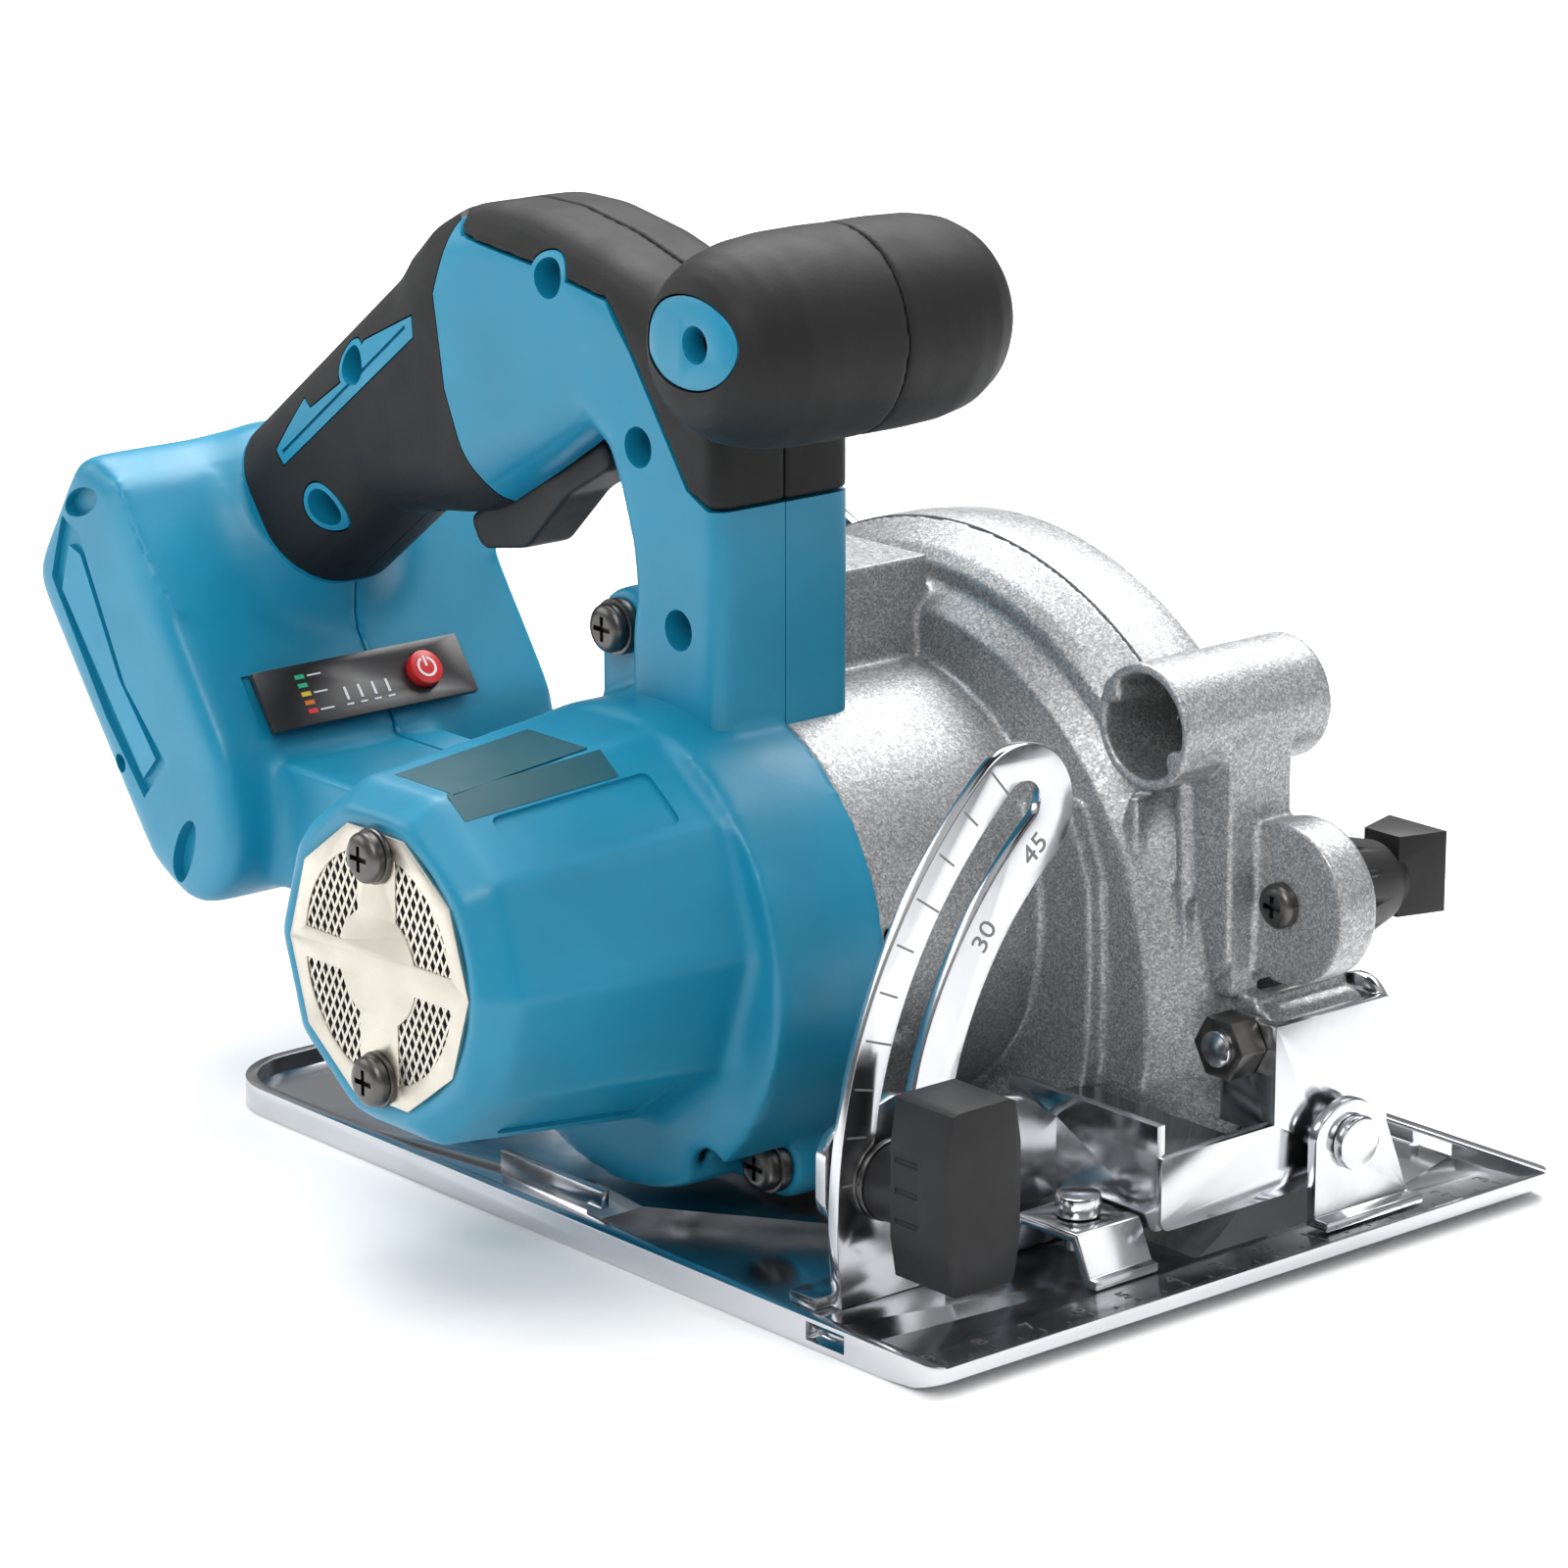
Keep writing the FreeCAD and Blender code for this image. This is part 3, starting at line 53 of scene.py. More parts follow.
# ------------------------------------------------------------------ materials
class Shader:
    """A material whose nodes are added one call at a time."""

    def __init__(self, name, metallic=0.0, roughness=0.5, specular=0.5, coat=0.0):
        self.material = bpy.data.materials.new(name)
        self.material.use_nodes = True
        self.tree = self.material.node_tree
        self.bsdf = self.tree.nodes["Principled BSDF"]
        self.bsdf.inputs["Metallic"].default_value = metallic
        self.bsdf.inputs["Roughness"].default_value = roughness
        self.bsdf.inputs["Specular IOR Level"].default_value = specular
        self.bsdf.inputs["Coat Weight"].default_value = coat
        self.place = self.tree.nodes.new("ShaderNodeTexCoord").outputs["Object"]

    def link(self, source, target):
        self.tree.links.new(source, target)

    def stretched(self, scale):
        """The object's coordinates, stretched by a factor for each axis."""
        node = self.tree.nodes.new("ShaderNodeMapping")
        node.inputs["Scale"].default_value = scale
        self.link(self.place, node.inputs["Vector"])
        return node.outputs["Vector"]

    def noise(self, scale, detail=3.0, rough=0.55, where=None):
        node = self.tree.nodes.new("ShaderNodeTexNoise")
        node.inputs["Scale"].default_value = scale
        node.inputs["Detail"].default_value = detail
        node.inputs["Roughness"].default_value = rough
        self.link(where or self.place, node.inputs["Vector"])
        return node.outputs["Fac"]

    def cells(self, scale, output="Color"):
        node = self.tree.nodes.new("ShaderNodeTexVoronoi")
        node.inputs["Scale"].default_value = scale
        self.link(self.place, node.inputs["Vector"])
        return node.outputs[output]

    def ramp(self, fac, stops):
        node = self.tree.nodes.new("ShaderNodeValToRGB")
        first, last = node.color_ramp.elements
        first.position, first.color = stops[0][0], (*stops[0][1], 1)
        last.position, last.color = stops[-1][0], (*stops[-1][1], 1)
        for position, colour in stops[1:-1]:
            node.color_ramp.elements.new(position).color = (*colour, 1)
        self.link(fac, node.inputs["Fac"])
        return node.outputs["Color"]

    def spread(self, fac, low, high):
        """fac from 0 to 1 mapped on to low to high."""
        node = self.tree.nodes.new("ShaderNodeMapRange")
        node.inputs["From Min"].default_value = 0.25
        node.inputs["From Max"].default_value = 0.75
        node.inputs["To Min"].default_value = low
        node.inputs["To Max"].default_value = high
        self.link(fac, node.inputs["Value"])
        return node.outputs["Result"]

    def worn(self, colour, worn_colour, amount):
        """colour with worn_colour along the sharp convex edges."""
        geometry = self.tree.nodes.new("ShaderNodeNewGeometry")
        edge = self.ramp(geometry.outputs["Pointiness"], [(0.52, (0, 0, 0)), (0.62, (amount,) * 3)])
        mix = self.tree.nodes.new("ShaderNodeMix")
        mix.data_type = "RGBA"
        self.link(edge, mix.inputs["Factor"])
        self.link(colour, mix.inputs["A"])
        mix.inputs["B"].default_value = (*worn_colour, 1)
        return mix.outputs["Result"]

    def bump(self, *layers):
        """Bump from (height, strength, depth in mm) layers, one on top of the other."""
        normal = None
        for height, strength, depth in layers:
            node = self.tree.nodes.new("ShaderNodeBump")
            node.inputs["Strength"].default_value = strength
            node.inputs["Distance"].default_value = depth * MM
            self.link(height, node.inputs["Height"])
            if normal:
                self.link(normal, node.inputs["Normal"])
            normal = node.outputs["Normal"]
        self.link(normal, self.bsdf.inputs["Normal"])


def shade(colour, factor):
    return tuple(min(1.0, c * factor) for c in colour)


def moulded(name, colour, roughness, grain=900, depth=0.05, specular=0.5, worn=0.25):
    """Moulded plastic: spark-eroded grain, slight flow shade and paler rubbed edges."""
    s = Shader(name, roughness=roughness, specular=specular)
    tint = s.ramp(s.noise(38, 4), [(0.3, shade(colour, 0.9)), (0.7, shade(colour, 1.1))])
    s.link(s.worn(tint, shade(colour, 1.8), worn), s.bsdf.inputs["Base Color"])
    s.link(s.spread(s.noise(120, 5), roughness - 0.06, roughness + 0.07), s.bsdf.inputs["Roughness"])
    s.bump((s.noise(grain, 2), 0.35, depth), (s.noise(60, 2), 0.12, 0.12))
    return s.material


def plated(name, colour, roughness, waviness=0.10):
    """Bright plating over pressed sheet: soft waves, fine rubbed scratches, a few dull patches."""
    s = Shader(name, metallic=1.0, roughness=roughness)
    s.link(s.ramp(s.noise(26, 5), [(0.3, shade(colour, 0.86)), (0.65, colour)]), s.bsdf.inputs["Base Color"])
    scratch = s.noise(1.0, 3, where=s.stretched((2400, 160, 2400)))
    s.link(s.spread(s.noise(70, 6, 0.7), roughness * 0.6, roughness * 1.9), s.bsdf.inputs["Roughness"])
    s.bump((s.noise(24, 2), waviness, 0.5), (scratch, 0.05, 0.03))
    return s.material


def sparkle(name):
    """Silver paint with coarse flake over a die casting."""
    s = Shader(name, metallic=0.7, roughness=0.42, coat=0.1)
    flakes = s.cells(3200)
    dust = s.ramp(flakes, [(0.0, (0.2, 0.205, 0.21)), (0.55, (0.36, 0.365, 0.37)), (1.0, (0.6, 0.605, 0.61))])
    s.link(dust, s.bsdf.inputs["Base Color"])
    s.link(s.spread(s.noise(900, 3), 0.34, 0.56), s.bsdf.inputs["Roughness"])
    s.bump((s.cells(3200, "Distance"), 0.45, 0.03), (s.noise(420, 4), 0.2, 0.08), (s.noise(60, 2), 0.12, 0.2))
    return s.material


def machined(name, colour, roughness, metallic=1.0):
    """Turned or ground steel with fine rings of tool marks and oil-darkened patches."""
    s = Shader(name, metallic=metallic, roughness=roughness)
    s.link(s.ramp(s.noise(150, 5), [(0.3, shade(colour, 0.75)), (0.7, shade(colour, 1.15))]),
           s.bsdf.inputs["Base Color"])
    s.link(s.spread(s.noise(260, 5), roughness * 0.75, roughness * 1.4), s.bsdf.inputs["Roughness"])
    s.bump((s.noise(1.0, 3, where=s.stretched((3000, 600, 3000))), 0.18, 0.04))
    return s.material


BLUE = (0.003, 0.21, 0.35)
MATERIALS = {
    "plated_steel": plated("plated_steel", (0.64, 0.65, 0.67), 0.14),
    "dark_steel": machined("dark_steel", (0.12, 0.115, 0.11), 0.33),
    "bright_steel": machined("bright_steel", (0.62, 0.62, 0.63), 0.25),
    "guard_steel": machined("guard_steel", (0.62, 0.63, 0.64), 0.3),
    "blade_steel": machined("blade_steel", (0.6, 0.6, 0.61), 0.28),
    "cast_alloy": sparkle("cast_alloy"),
    "nickel_sheet": plated("nickel_sheet", (0.60, 0.57, 0.50), 0.3, 0.05),
    "lamination": machined("lamination", (0.3, 0.2, 0.13), 0.5),
    "blue_plastic": moulded("blue_plastic", BLUE, 0.40, worn=0.12),
    "black_plastic": moulded("black_plastic", (0.010, 0.010, 0.011), 0.5, 1100, 0.06, 0.35),
    "black_rubber": moulded("black_rubber", (0.009, 0.0092, 0.010), 0.58, 1500, 0.09, 0.3),
    "panel_black": moulded("panel_black", (0.012, 0.012, 0.014), 0.36, 500, 0.01, 0.6),
    "red_plastic": moulded("red_plastic", (0.62, 0.022, 0.025), 0.28, 600, 0.02),
    "white_print": moulded("white_print", (0.78, 0.79, 0.8), 0.5, 700, 0.02, worn=0.0),
    "green_mark": moulded("green_mark", (0.03, 0.42, 0.2), 0.4, 700, 0.02, worn=0.0),
    "yellow_mark": moulded("yellow_mark", (0.75, 0.5, 0.04), 0.4, 700, 0.02, worn=0.0),
    "amber_mark": moulded("amber_mark", (0.7, 0.16, 0.02), 0.4, 700, 0.02, worn=0.0),
    "scale_grey": moulded("scale_grey", (0.17, 0.17, 0.175), 0.5, 700, 0.02, worn=0.0),
    "dark_print": moulded("dark_print", (0.06, 0.06, 0.065), 0.5, 700, 0.02, worn=0.0),
    "label_teal": moulded("label_teal", (0.012, 0.085, 0.11), 0.4, 500, 0.02, worn=0.0),
    # mesh_dark gives the disc of painted shade behind the end plate's mesh its near-black colour.
    "mesh_dark": moulded("mesh_dark", (0.010, 0.010, 0.012), 0.7, 900, 0.05, 0.2, 0.0),
    "board_green": moulded("board_green", (0.02, 0.16, 0.06), 0.4, 300, 0.05),
}


# ---------------------------------------------------------------- mesh helpers
def link(name, mesh):
    piece = bpy.data.objects.new(name, mesh)
    bpy.context.scene.collection.objects.link(piece)
    return piece


def from_bmesh(name, bm):
    mesh = bpy.data.meshes.new(name)
    bm.to_mesh(mesh)
    bm.free()
    return link(name, mesh)


def apply_all(piece):
    """Turns the piece's modifiers into plain mesh."""
    graph = bpy.context.evaluated_depsgraph_get()
    mesh = bpy.data.meshes.new_from_object(piece.evaluated_get(graph), depsgraph=graph)
    old = piece.data
    piece.modifiers.clear()
    piece.data = mesh
    bpy.data.meshes.remove(old)
    return piece


def smooth_by_angle(piece, degrees=35):
    bm = bmesh.new()
    bm.from_mesh(piece.data)
    limit = math.radians(degrees)
    for face in bm.faces:
        face.smooth = True
    for edge in bm.edges:
        edge.smooth = len(edge.link_faces) == 2 and edge.calc_face_angle(0) < limit
    bm.to_mesh(piece.data)
    bm.free()
    return piece


def copy_of(node, name=None):
    """A welded copy of a CAD node's mesh, with its flat faces joined up again."""
    bm = bmesh.new()
    bm.from_mesh(NODES[node].data)
    bmesh.ops.remove_doubles(bm, verts=bm.verts, dist=0.002 * MM)
    bmesh.ops.dissolve_limit(bm, angle_limit=math.radians(0.6), verts=bm.verts, edges=bm.edges)
    return from_bmesh(name or node + "_skin", bm)


def remeshed(piece, voxel, passes=4, factor=0.6):
    """The piece as an even mesh whose edges are softened as a mould softens them."""
    grid = piece.modifiers.new("grid", "REMESH")
    grid.mode = "VOXEL"
    grid.voxel_size = voxel * MM
    if passes:
        relax = piece.modifiers.new("relax", "SMOOTH")
        relax.iterations = passes
        relax.factor = factor
    return apply_all(piece)


def bevelled(piece, width, segments=2, degrees=28):
    edge = piece.modifiers.new("edge", "BEVEL")
    edge.width = width * MM
    edge.segments = segments
    edge.limit_method = "ANGLE"
    edge.angle_limit = math.radians(degrees)
    edge.use_clamp_overlap = True
    edge.miter_outer = "MITER_ARC"
    apply_all(piece)
    return smooth_by_angle(piece)


def combine(piece, tool, operation):
    """piece with tool cut away, joined or kept in common; the tool is used up."""
    step = piece.modifiers.new(operation, "BOOLEAN")
    step.operation = operation
    step.object = tool
    step.solver = "MANIFOLD"
    apply_all(piece)
    bpy.data.objects.remove(tool)
    return piece


def coords(piece):
    points = np.empty(len(piece.data.vertices) * 3)
    piece.data.vertices.foreach_get("co", points)
    return points.reshape(-1, 3) / MM


def set_coords(piece, points):
    piece.data.vertices.foreach_set("co", (points * MM).ravel())
    piece.data.update()


detailed = set()


def stand_for(piece, node):
    """Finishes a piece that takes a CAD node's place."""
    detailed.add(node)
    piece.data.materials.clear()
    piece.data.materials.append(MATERIALS[SLOT_OF[node]])
    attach(piece, BODY_OF[node])
    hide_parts(node)
    return piece


def extra(piece, body, material):
    """Finishes a piece that adds detail to a body."""
    piece.data.materials.clear()
    piece.data.materials.append(MATERIALS[material])
    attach(piece, body)
    return piece


# ------------------------------------------------------------- building blocks
def prism(name, axis, span, outline):
    """A polygon swept along an axis; the outline gives the other two coordinates in X, Y, Z order."""
    along = "xyz".index(axis)
    across = [i for i in range(3) if i != along]
    bm = bmesh.new()
    rings = []
    for level in span:
        ring = []
        for point in outline:
            place = [0.0, 0.0, 0.0]
            place[along] = level * MM
            place[across[0]], place[across[1]] = point[0] * MM, point[1] * MM
            ring.append(bm.verts.new(place))
        rings.append(ring)
    count = len(outline)
    for i in range(count):
        j = (i + 1) % count
        bm.faces.new((rings[0][i], rings[0][j], rings[1][j], rings[1][i]))
    bm.faces.new(rings[0])
    bm.faces.new(rings[1])
    bmesh.ops.recalc_face_normals(bm, faces=bm.faces)
    return from_bmesh(name, bm)


def box(name, xs, ys, zs):
    return prism(name, "z", zs, [(xs[0], ys[0]), (xs[1], ys[0]), (xs[1], ys[1]), (xs[0], ys[1])])


def turned(name, axis, centre, profile, steps=48):
    """A turned form about an axis: the profile lists (place along the axis, radius)."""
    along = "xyz".index(axis)
    across = [i for i in range(3) if i != along]
    bm = bmesh.new()
    rings = []
    for level, radius in profile:
        ring = []
        for i in range(steps):
            angle = 2 * math.pi * i / steps
            place = [0.0, 0.0, 0.0]
            place[along] = level * MM
            place[across[0]] = (centre[0] + radius * math.cos(angle)) * MM
            place[across[1]] = (centre[1] + radius * math.sin(angle)) * MM
            ring.append(bm.verts.new(place))
        rings.append(ring)
    for low, high in zip(rings, rings[1:]):
        for i in range(steps):
            j = (i + 1) % steps
            bm.faces.new((low[i], low[j], high[j], high[i]))
    bm.faces.new(rings[0])
    bm.faces.new(rings[-1])
    bmesh.ops.recalc_face_normals(bm, faces=bm.faces)
    return from_bmesh(name, bm)


def duplicate(piece, name):
    return link(name, piece.data.copy())


def placed(piece, turn, at):
    """piece turned by a rotation matrix and moved to a place in millimetres."""
    piece.data.transform(Matrix.Translation(Vector(at) * MM) @ turn.to_4x4())
    return piece


def drilled(piece, span, spots, radius):
    """piece with round holes along Y."""
    for spot in spots:
        combine(piece, turned("drill", "y", spot, [(span[0], radius), (span[1], radius)], 32), "DIFFERENCE")
    return piece


def lying(x_to, y_to):
    """The rotation that lays a flat thing's X along x_to and its Y along y_to."""
    x_axis, y_axis = Vector(x_to).normalized(), Vector(y_to).normalized()
    return Matrix((x_axis, y_axis, x_axis.cross(y_axis))).transposed()


def lettering(name, text, size, at, turn, body, material, thick=0.05):
    """Flat figures laid on a surface, centred on a place in millimetres."""
    curve = bpy.data.curves.new(name, "FONT")
    curve.body = text
    curve.size = size * MM
    curve.align_x, curve.align_y = "CENTER", "CENTER"
    curve.extrude = thick * MM
    label = bpy.data.objects.new(name, curve)
    bpy.context.scene.collection.objects.link(label)
    graph = bpy.context.evaluated_depsgraph_get()
    mesh = bpy.data.meshes.new_from_object(label.evaluated_get(graph))
    bpy.data.objects.remove(label)
    return extra(placed(link(name, mesh), turn, at), body, material)


def bar_mark(name, size, at, turn, body, material):
    """A small flat plate: printed marks, scale lines and label grounds."""
    half = [s / 2 for s in size]
    plate = box(name, (-half[0], half[0]), (-half[1], half[1]), (-half[2], half[2]))
    return extra(placed(plate, turn, at), body, material)


# -------------------------------------------------------------------- handle
GRIP_COS, GRIP_SIN = 0.8, 0.6
SEAM_Y = -58
HALF_WIDTH = 14


def dock_point(n, t):
    """A point of the XZ plane from distances along the grip and across it."""
    return (GRIP_COS * n + GRIP_SIN * t, GRIP_SIN * n - GRIP_COS * t)


TOP_EDGE = [dock_point(26, -156), (-69, 144.6), (-62, 149.6), (-53, 153.6), (-44, 155.4), (-34, 155.2),
            (-20, 152.6), (-6, 148.2), (6, 143.4), (12, 139), (15.2, 132)]
UNDER_EDGE = [(-7, 92), (-5.8, 99), (-6.6, 106), (-9.7, 114.3), (-13, 120), (-18.5, 122.2), (-46, 104.6),
              (-51, 102.4), (-58, 101), (-66, 100), dock_point(-2, -124)]
HANDLE = ([dock_point(-46, -155.5)] + TOP_EDGE + [(15.2, 72), (-7, 72)] + UNDER_EDGE
          + [dock_point(-46, -123.9)])
HANDLE_ROOM = ([dock_point(-33, -156.8)] + [(x, z + 0.8) for x, z in TOP_EDGE[:-2]]
               + [(13, 139.6), (16, 132), (16, 86), (-7.8, 86)]
               + [(x - 0.4, z - 0.8) for x, z in UNDER_EDGE] + [dock_point(-33, -123.1)])
GRIP_ZONE = [dock_point(-28, -178), dock_point(31, -178), (-62, 156), (-51, 152), (-55.7, 139.4), (-53, 124),
             (-46.6, 110), (-44, 98), (-60, 80), dock_point(-28, -104)]
TOP_ZONE = [(-51, 152), (-49, 149.5), (-30, 147.4), (-12, 144.2), (-5.8, 137.2), (8, 117.5), (13, 115),
            (40, 115), (40, 175), (-62, 175), (-62, 156)]
GRIP_SCREWS = [(-88.5, 98.3), (-78.8, 124)]
TOP_SCREW = (-26, 146)
SHELL_SCREWS = [(-3.7, 122.5), (5.9, 95)]
TRIGGER_MOUTH = [(-64.5, 89), (-21, 106.5), (-17.5, 116), (-30, 128.8), (-71.5, 109.5)]
INSET = [(-61.7, 134.8), (-61.4, 131.4), (-98.0, 104.2), (-100.3, 106.4), (-93.6, 116.0), (-90.6, 115.0),
         (-81.8, 120.6), (-75.9, 128.6)]


def inward_of(points, outline):
    """How far each (x, z) point lies from the outline, and the way that leads further in."""
    corners = np.array(outline, float)
    ahead = np.roll(corners, -1, axis=0)
    turn = np.sign(np.sum(corners[:, 0] * ahead[:, 1] - ahead[:, 0] * corners[:, 1]))
    nearest = np.full(len(points), 1e9)
    way = np.zeros((len(points), 2))
    for a, b in zip(corners, ahead):
        edge = b - a
        normal = np.array([-edge[1], edge[0]]) / np.linalg.norm(edge) * turn
        part = np.clip(((points - a) @ edge) / (edge @ edge), 0, 1)
        offset = points - (a + part[:, None] * edge)
        gap = np.linalg.norm(offset, axis=1)
        closer = gap < nearest
        aim = np.where(gap[:, None] < 0.4, normal, offset / np.maximum(gap, 1e-9)[:, None])
        nearest[closer], way[closer] = gap[closer], aim[closer]
    return nearest, way


def eased(value, low, high):
    part = np.clip((value - low) / (high - low), 0, 1)
    return part * part * (3 - 2 * part)


def handle_radius(points):
    """Nearly round at the rear grip, softer over the top, tight at the front post."""
    along_grip = GRIP_COS * (points[:, 0] + 84) + GRIP_SIN * (points[:, 2] - 112)
    top = 12.4 - 4.6 * eased(along_grip, 26, 52)
    post = eased(points[:, 0], -26, -2) * eased(-points[:, 2], -146, -122)
    return top * (1 - post) + 2.4 * post


def rounded_sides(piece, outline, radius_at):
    """Turns a slab's square long edges into round ones, each point by its place on the square."""
    points = coords(piece)
    inside, way = inward_of(points[:, [0, 2]], outline)
    radius = radius_at(points)
    offset = points[:, 1] - SEAM_Y
    inward = np.clip(radius - inside, 0, None)
    outward = np.clip(np.abs(offset) - (HALF_WIDTH - radius), 0, None)
    size = np.hypot(inward, outward)
    scale = np.where(size > 0, np.maximum(inward, outward) / np.maximum(size, 1e-9), 1)
    sink = (inward - inward * scale)[:, None] * way
    points[:, 0] += sink[:, 0]
    points[:, 2] += sink[:, 1]
    points[:, 1] += np.sign(offset) * (outward * scale - outward)
    set_coords(piece, points)
    return piece


def relaxed(piece, passes):
    step = piece.modifiers.new("relax", "SMOOTH")
    step.iterations = passes
    step.factor = 0.5
    return apply_all(piece)


def handle_solid():
    slab = prism("handle_solid", "y", (SEAM_Y - HALF_WIDTH, SEAM_Y + HALF_WIDTH), HANDLE)
    remeshed(slab, 0.9, 2)
    rounded_sides(slab, HANDLE, handle_radius)
    relaxed(slab, 8)
    return combine(slab, prism("mouth", "y", (SEAM_Y - 5.4, SEAM_Y + 5.4), TRIGGER_MOUTH), "DIFFERENCE")


def side_box(side, gap=0.1):
    ys = (-140, SEAM_Y - gap) if side == "right" else (SEAM_Y + gap, 20)
    return box("side", (-220, 90), ys, (-20, 220))


def half_of(solid, side, name):
    return combine(duplicate(solid, name), side_box(side), "INTERSECT")


def shrunk(outline, amount):
    """An outline drawn in all round by a small amount."""
    points = np.array(outline, float)
    ahead = np.roll(points, -1, axis=0)
    turn = np.sign(np.sum(points[:, 0] * ahead[:, 1] - ahead[:, 0] * points[:, 1]))
    edges = (ahead - points) / np.linalg.norm(ahead - points, axis=1)[:, None]
    normals = np.stack([-edges[:, 1], edges[:, 0]], 1) * turn
    bisector = normals + np.roll(normals, 1, axis=0)
    bisector /= np.maximum(np.sum(bisector * normals, axis=1), 0.3)[:, None]
    return [tuple(point) for point in points + amount * bisector]


def rubber_parts(solid):
    """The rubber grips and covers, each its own moulding let into the blue shell."""
    for side in ("right", "left"):
        grip = half_of(solid, side, f"rear_grip_{side}_skin")
        combine(grip, prism("zone", "y", (-100, 0), shrunk(GRIP_ZONE, 0.25)), "INTERSECT")
        cover = half_of(solid, side, f"top_cover_{side}_skin")
        combine(cover, prism("zone", "y", (-100, 0), shrunk(TOP_ZONE, 0.25)), "INTERSECT")
        ys = (SEAM_Y - 11, SEAM_Y - 0.1) if side == "right" else (SEAM_Y + 0.1, SEAM_Y + 11)
        neck = prism("neck", "y", ys, [(11, 128), (10, 138), (0, 146), (8, 155), (27, 148), (26, 131),
                                       (18, 125)])
        combine(cover, neck, "UNION")
        remeshed(cover, 0.6, 5)
        if side == "right":
            combine(grip, prism("inset_seat", "y", (-80, SEAM_Y - 6), shrunk(INSET, -0.3)), "DIFFERENCE")
            drilled(grip, (-80, SEAM_Y - 3), GRIP_SCREWS, 4.6)
            drilled(cover, (-80, SEAM_Y - 3), [TOP_SCREW], 4.6)
        else:
            drilled(cover, (-50, -30), [(-44, 146)], 3.9)
        stand_for(smooth_by_angle(grip, 50), f"rear_grip_{side}")
        stand_for(smooth_by_angle(cover, 50), f"top_cover_{side}")


def front_handle():
    """Two rubber halves that meet in a bowed seam, with an oval blue cap let into the right end."""
    at = (27.5, 144)
    right = [(-88, 7), (-87.6, 9.4), (-86.4, 11.4), (-84.4, 13.1), (-81.5, 14.6), (-77, 15.8), (-71, 16.4),
             (-64, 16.5), (SEAM_Y - 0.12, 16.4), (SEAM_Y - 0.12, 8)]
    left = [(SEAM_Y + 0.12, 8), (SEAM_Y + 0.12, 16.4), (-50, 16.4), (-43, 16.1), (-38, 15.2), (-34.4, 13.4),
            (-32, 11.1), (-30.5, 8), (-30.05, 4)]
    for side, profile in (("right", right), ("left", left)):
        half = turned(f"front_grip_{side}_skin", "y", at, profile, 96)
        remeshed(half, 0.6, 3)
        if side == "right":
            oval = turned("oval", "z", (0, 0), [(-3, 9.4), (3, 9.4)], 64)
            oval.data.transform(Matrix.Diagonal((1.12, 0.78, 1, 1)))
            placed(oval, lying((1, 0, 0.0), (0, 0, 1)), (at[0], -86.6, at[1] + 1.6))
            combine(half, duplicate(oval, "oval_seat"), "DIFFERENCE")
            inset = [(p[0] + 0.25, p[1]) for p in right[:7]] + [(-80, 6)]
            cap = turned("front_grip_inset_skin", "y", at, inset, 96)
            oval.data.transform(Matrix.Translation(Vector((at[0], -86.6, at[1] + 1.6)) * MM)
                                @ Matrix.Diagonal((0.965, 1, 0.955, 1))
                                @ Matrix.Translation(-Vector((at[0], -86.6, at[1] + 1.6)) * MM))
            combine(cap, oval, "INTERSECT")
            drilled(cap, (-95, -70), [(at[0] + 1.5, at[1] + 1.5)], 2.9)
            stand_for(bevelled(cap, 0.3), "front_grip_inset")
            drilled(half, (-95, -76), [(at[0] + 1.5, at[1] + 1.5)], 2.6)
        stand_for(smooth_by_angle(half, 50), f"front_grip_{side}")


# ------------------------------------------------------------------- housings
BARREL_Z = 50
BARREL_ENDS = ((-122, 29), (-80, 33.5))


def facet_frame(angle, offset, y):
    """A place on one of the barrel's facets and the rotation that lays a thing on it."""
    (y0, r0), (y1, r1) = BARREL_ENDS
    reach = (r0 + (r1 - r0) * (y - y0) / (y1 - y0)) * math.cos(math.radians(18))
    a = math.radians(angle)
    out = Vector((math.cos(a), 0, math.sin(a)))
    side = Vector((-math.sin(a), 0, math.cos(a)))
    slope = (r1 - r0) / (y1 - y0) * math.cos(math.radians(18))
    run = Vector((0, 1, 0)) + out * slope
    at = Vector((0, y, BARREL_Z)) + out * reach + side * offset
    return at, lying(run, side)


def facet_recess(shell, angle, low, high, span, depth=0.7):
    """A shallow moulded panel sunk into one facet of the barrel."""
    middle = (span[0] + span[1]) / 2
    at, turn = facet_frame(angle, (low + high) / 2, middle)
    half_run, half_rise, corner = (span[1] - span[0]) / 2, (high - low) / 2, 1.6
    outline = []
    for cx, cy, start in ((1, 1, 0), (-1, 1, 90), (-1, -1, 180), (1, -1, 270)):
        for step in (0, 30, 60, 90):
            a = math.radians(start + step)
            outline.append((cx * (half_run - corner) + corner * math.cos(a),
                            cy * (half_rise - corner) + corner * math.sin(a)))
    tool = prism("recess", "z", (-depth, 3), outline)
    combine(shell, placed(tool, turn, at), "DIFFERENCE")


def dock_frame(n, t, y):
    """A place on the dock's front face; X runs down the dock and Y to the saw's right."""
    x, z = dock_point(n, t)
    return (x, y, z), lying((GRIP_SIN, 0, -GRIP_COS), (0, 1, 0))


def dock_shape(points):
    """Swells the dock up to the grip's foot in a smooth sweep."""
    n = GRIP_COS * points[:, 0] + GRIP_SIN * points[:, 2]
    t = GRIP_SIN * points[:, 0] - GRIP_COS * points[:, 2]
    reach = np.hypot(t + 140, (points[:, 1] - SEAM_Y) * 1.08)
    lift = 6.0 * (1 - eased(reach, 13, 27)) ** 2
    lift = np.minimum(lift, np.clip(-28.6 - n, 0, None)) * (n > -40)
    points[:, 0] += GRIP_COS * lift
    points[:, 2] += GRIP_SIN * lift
    return points


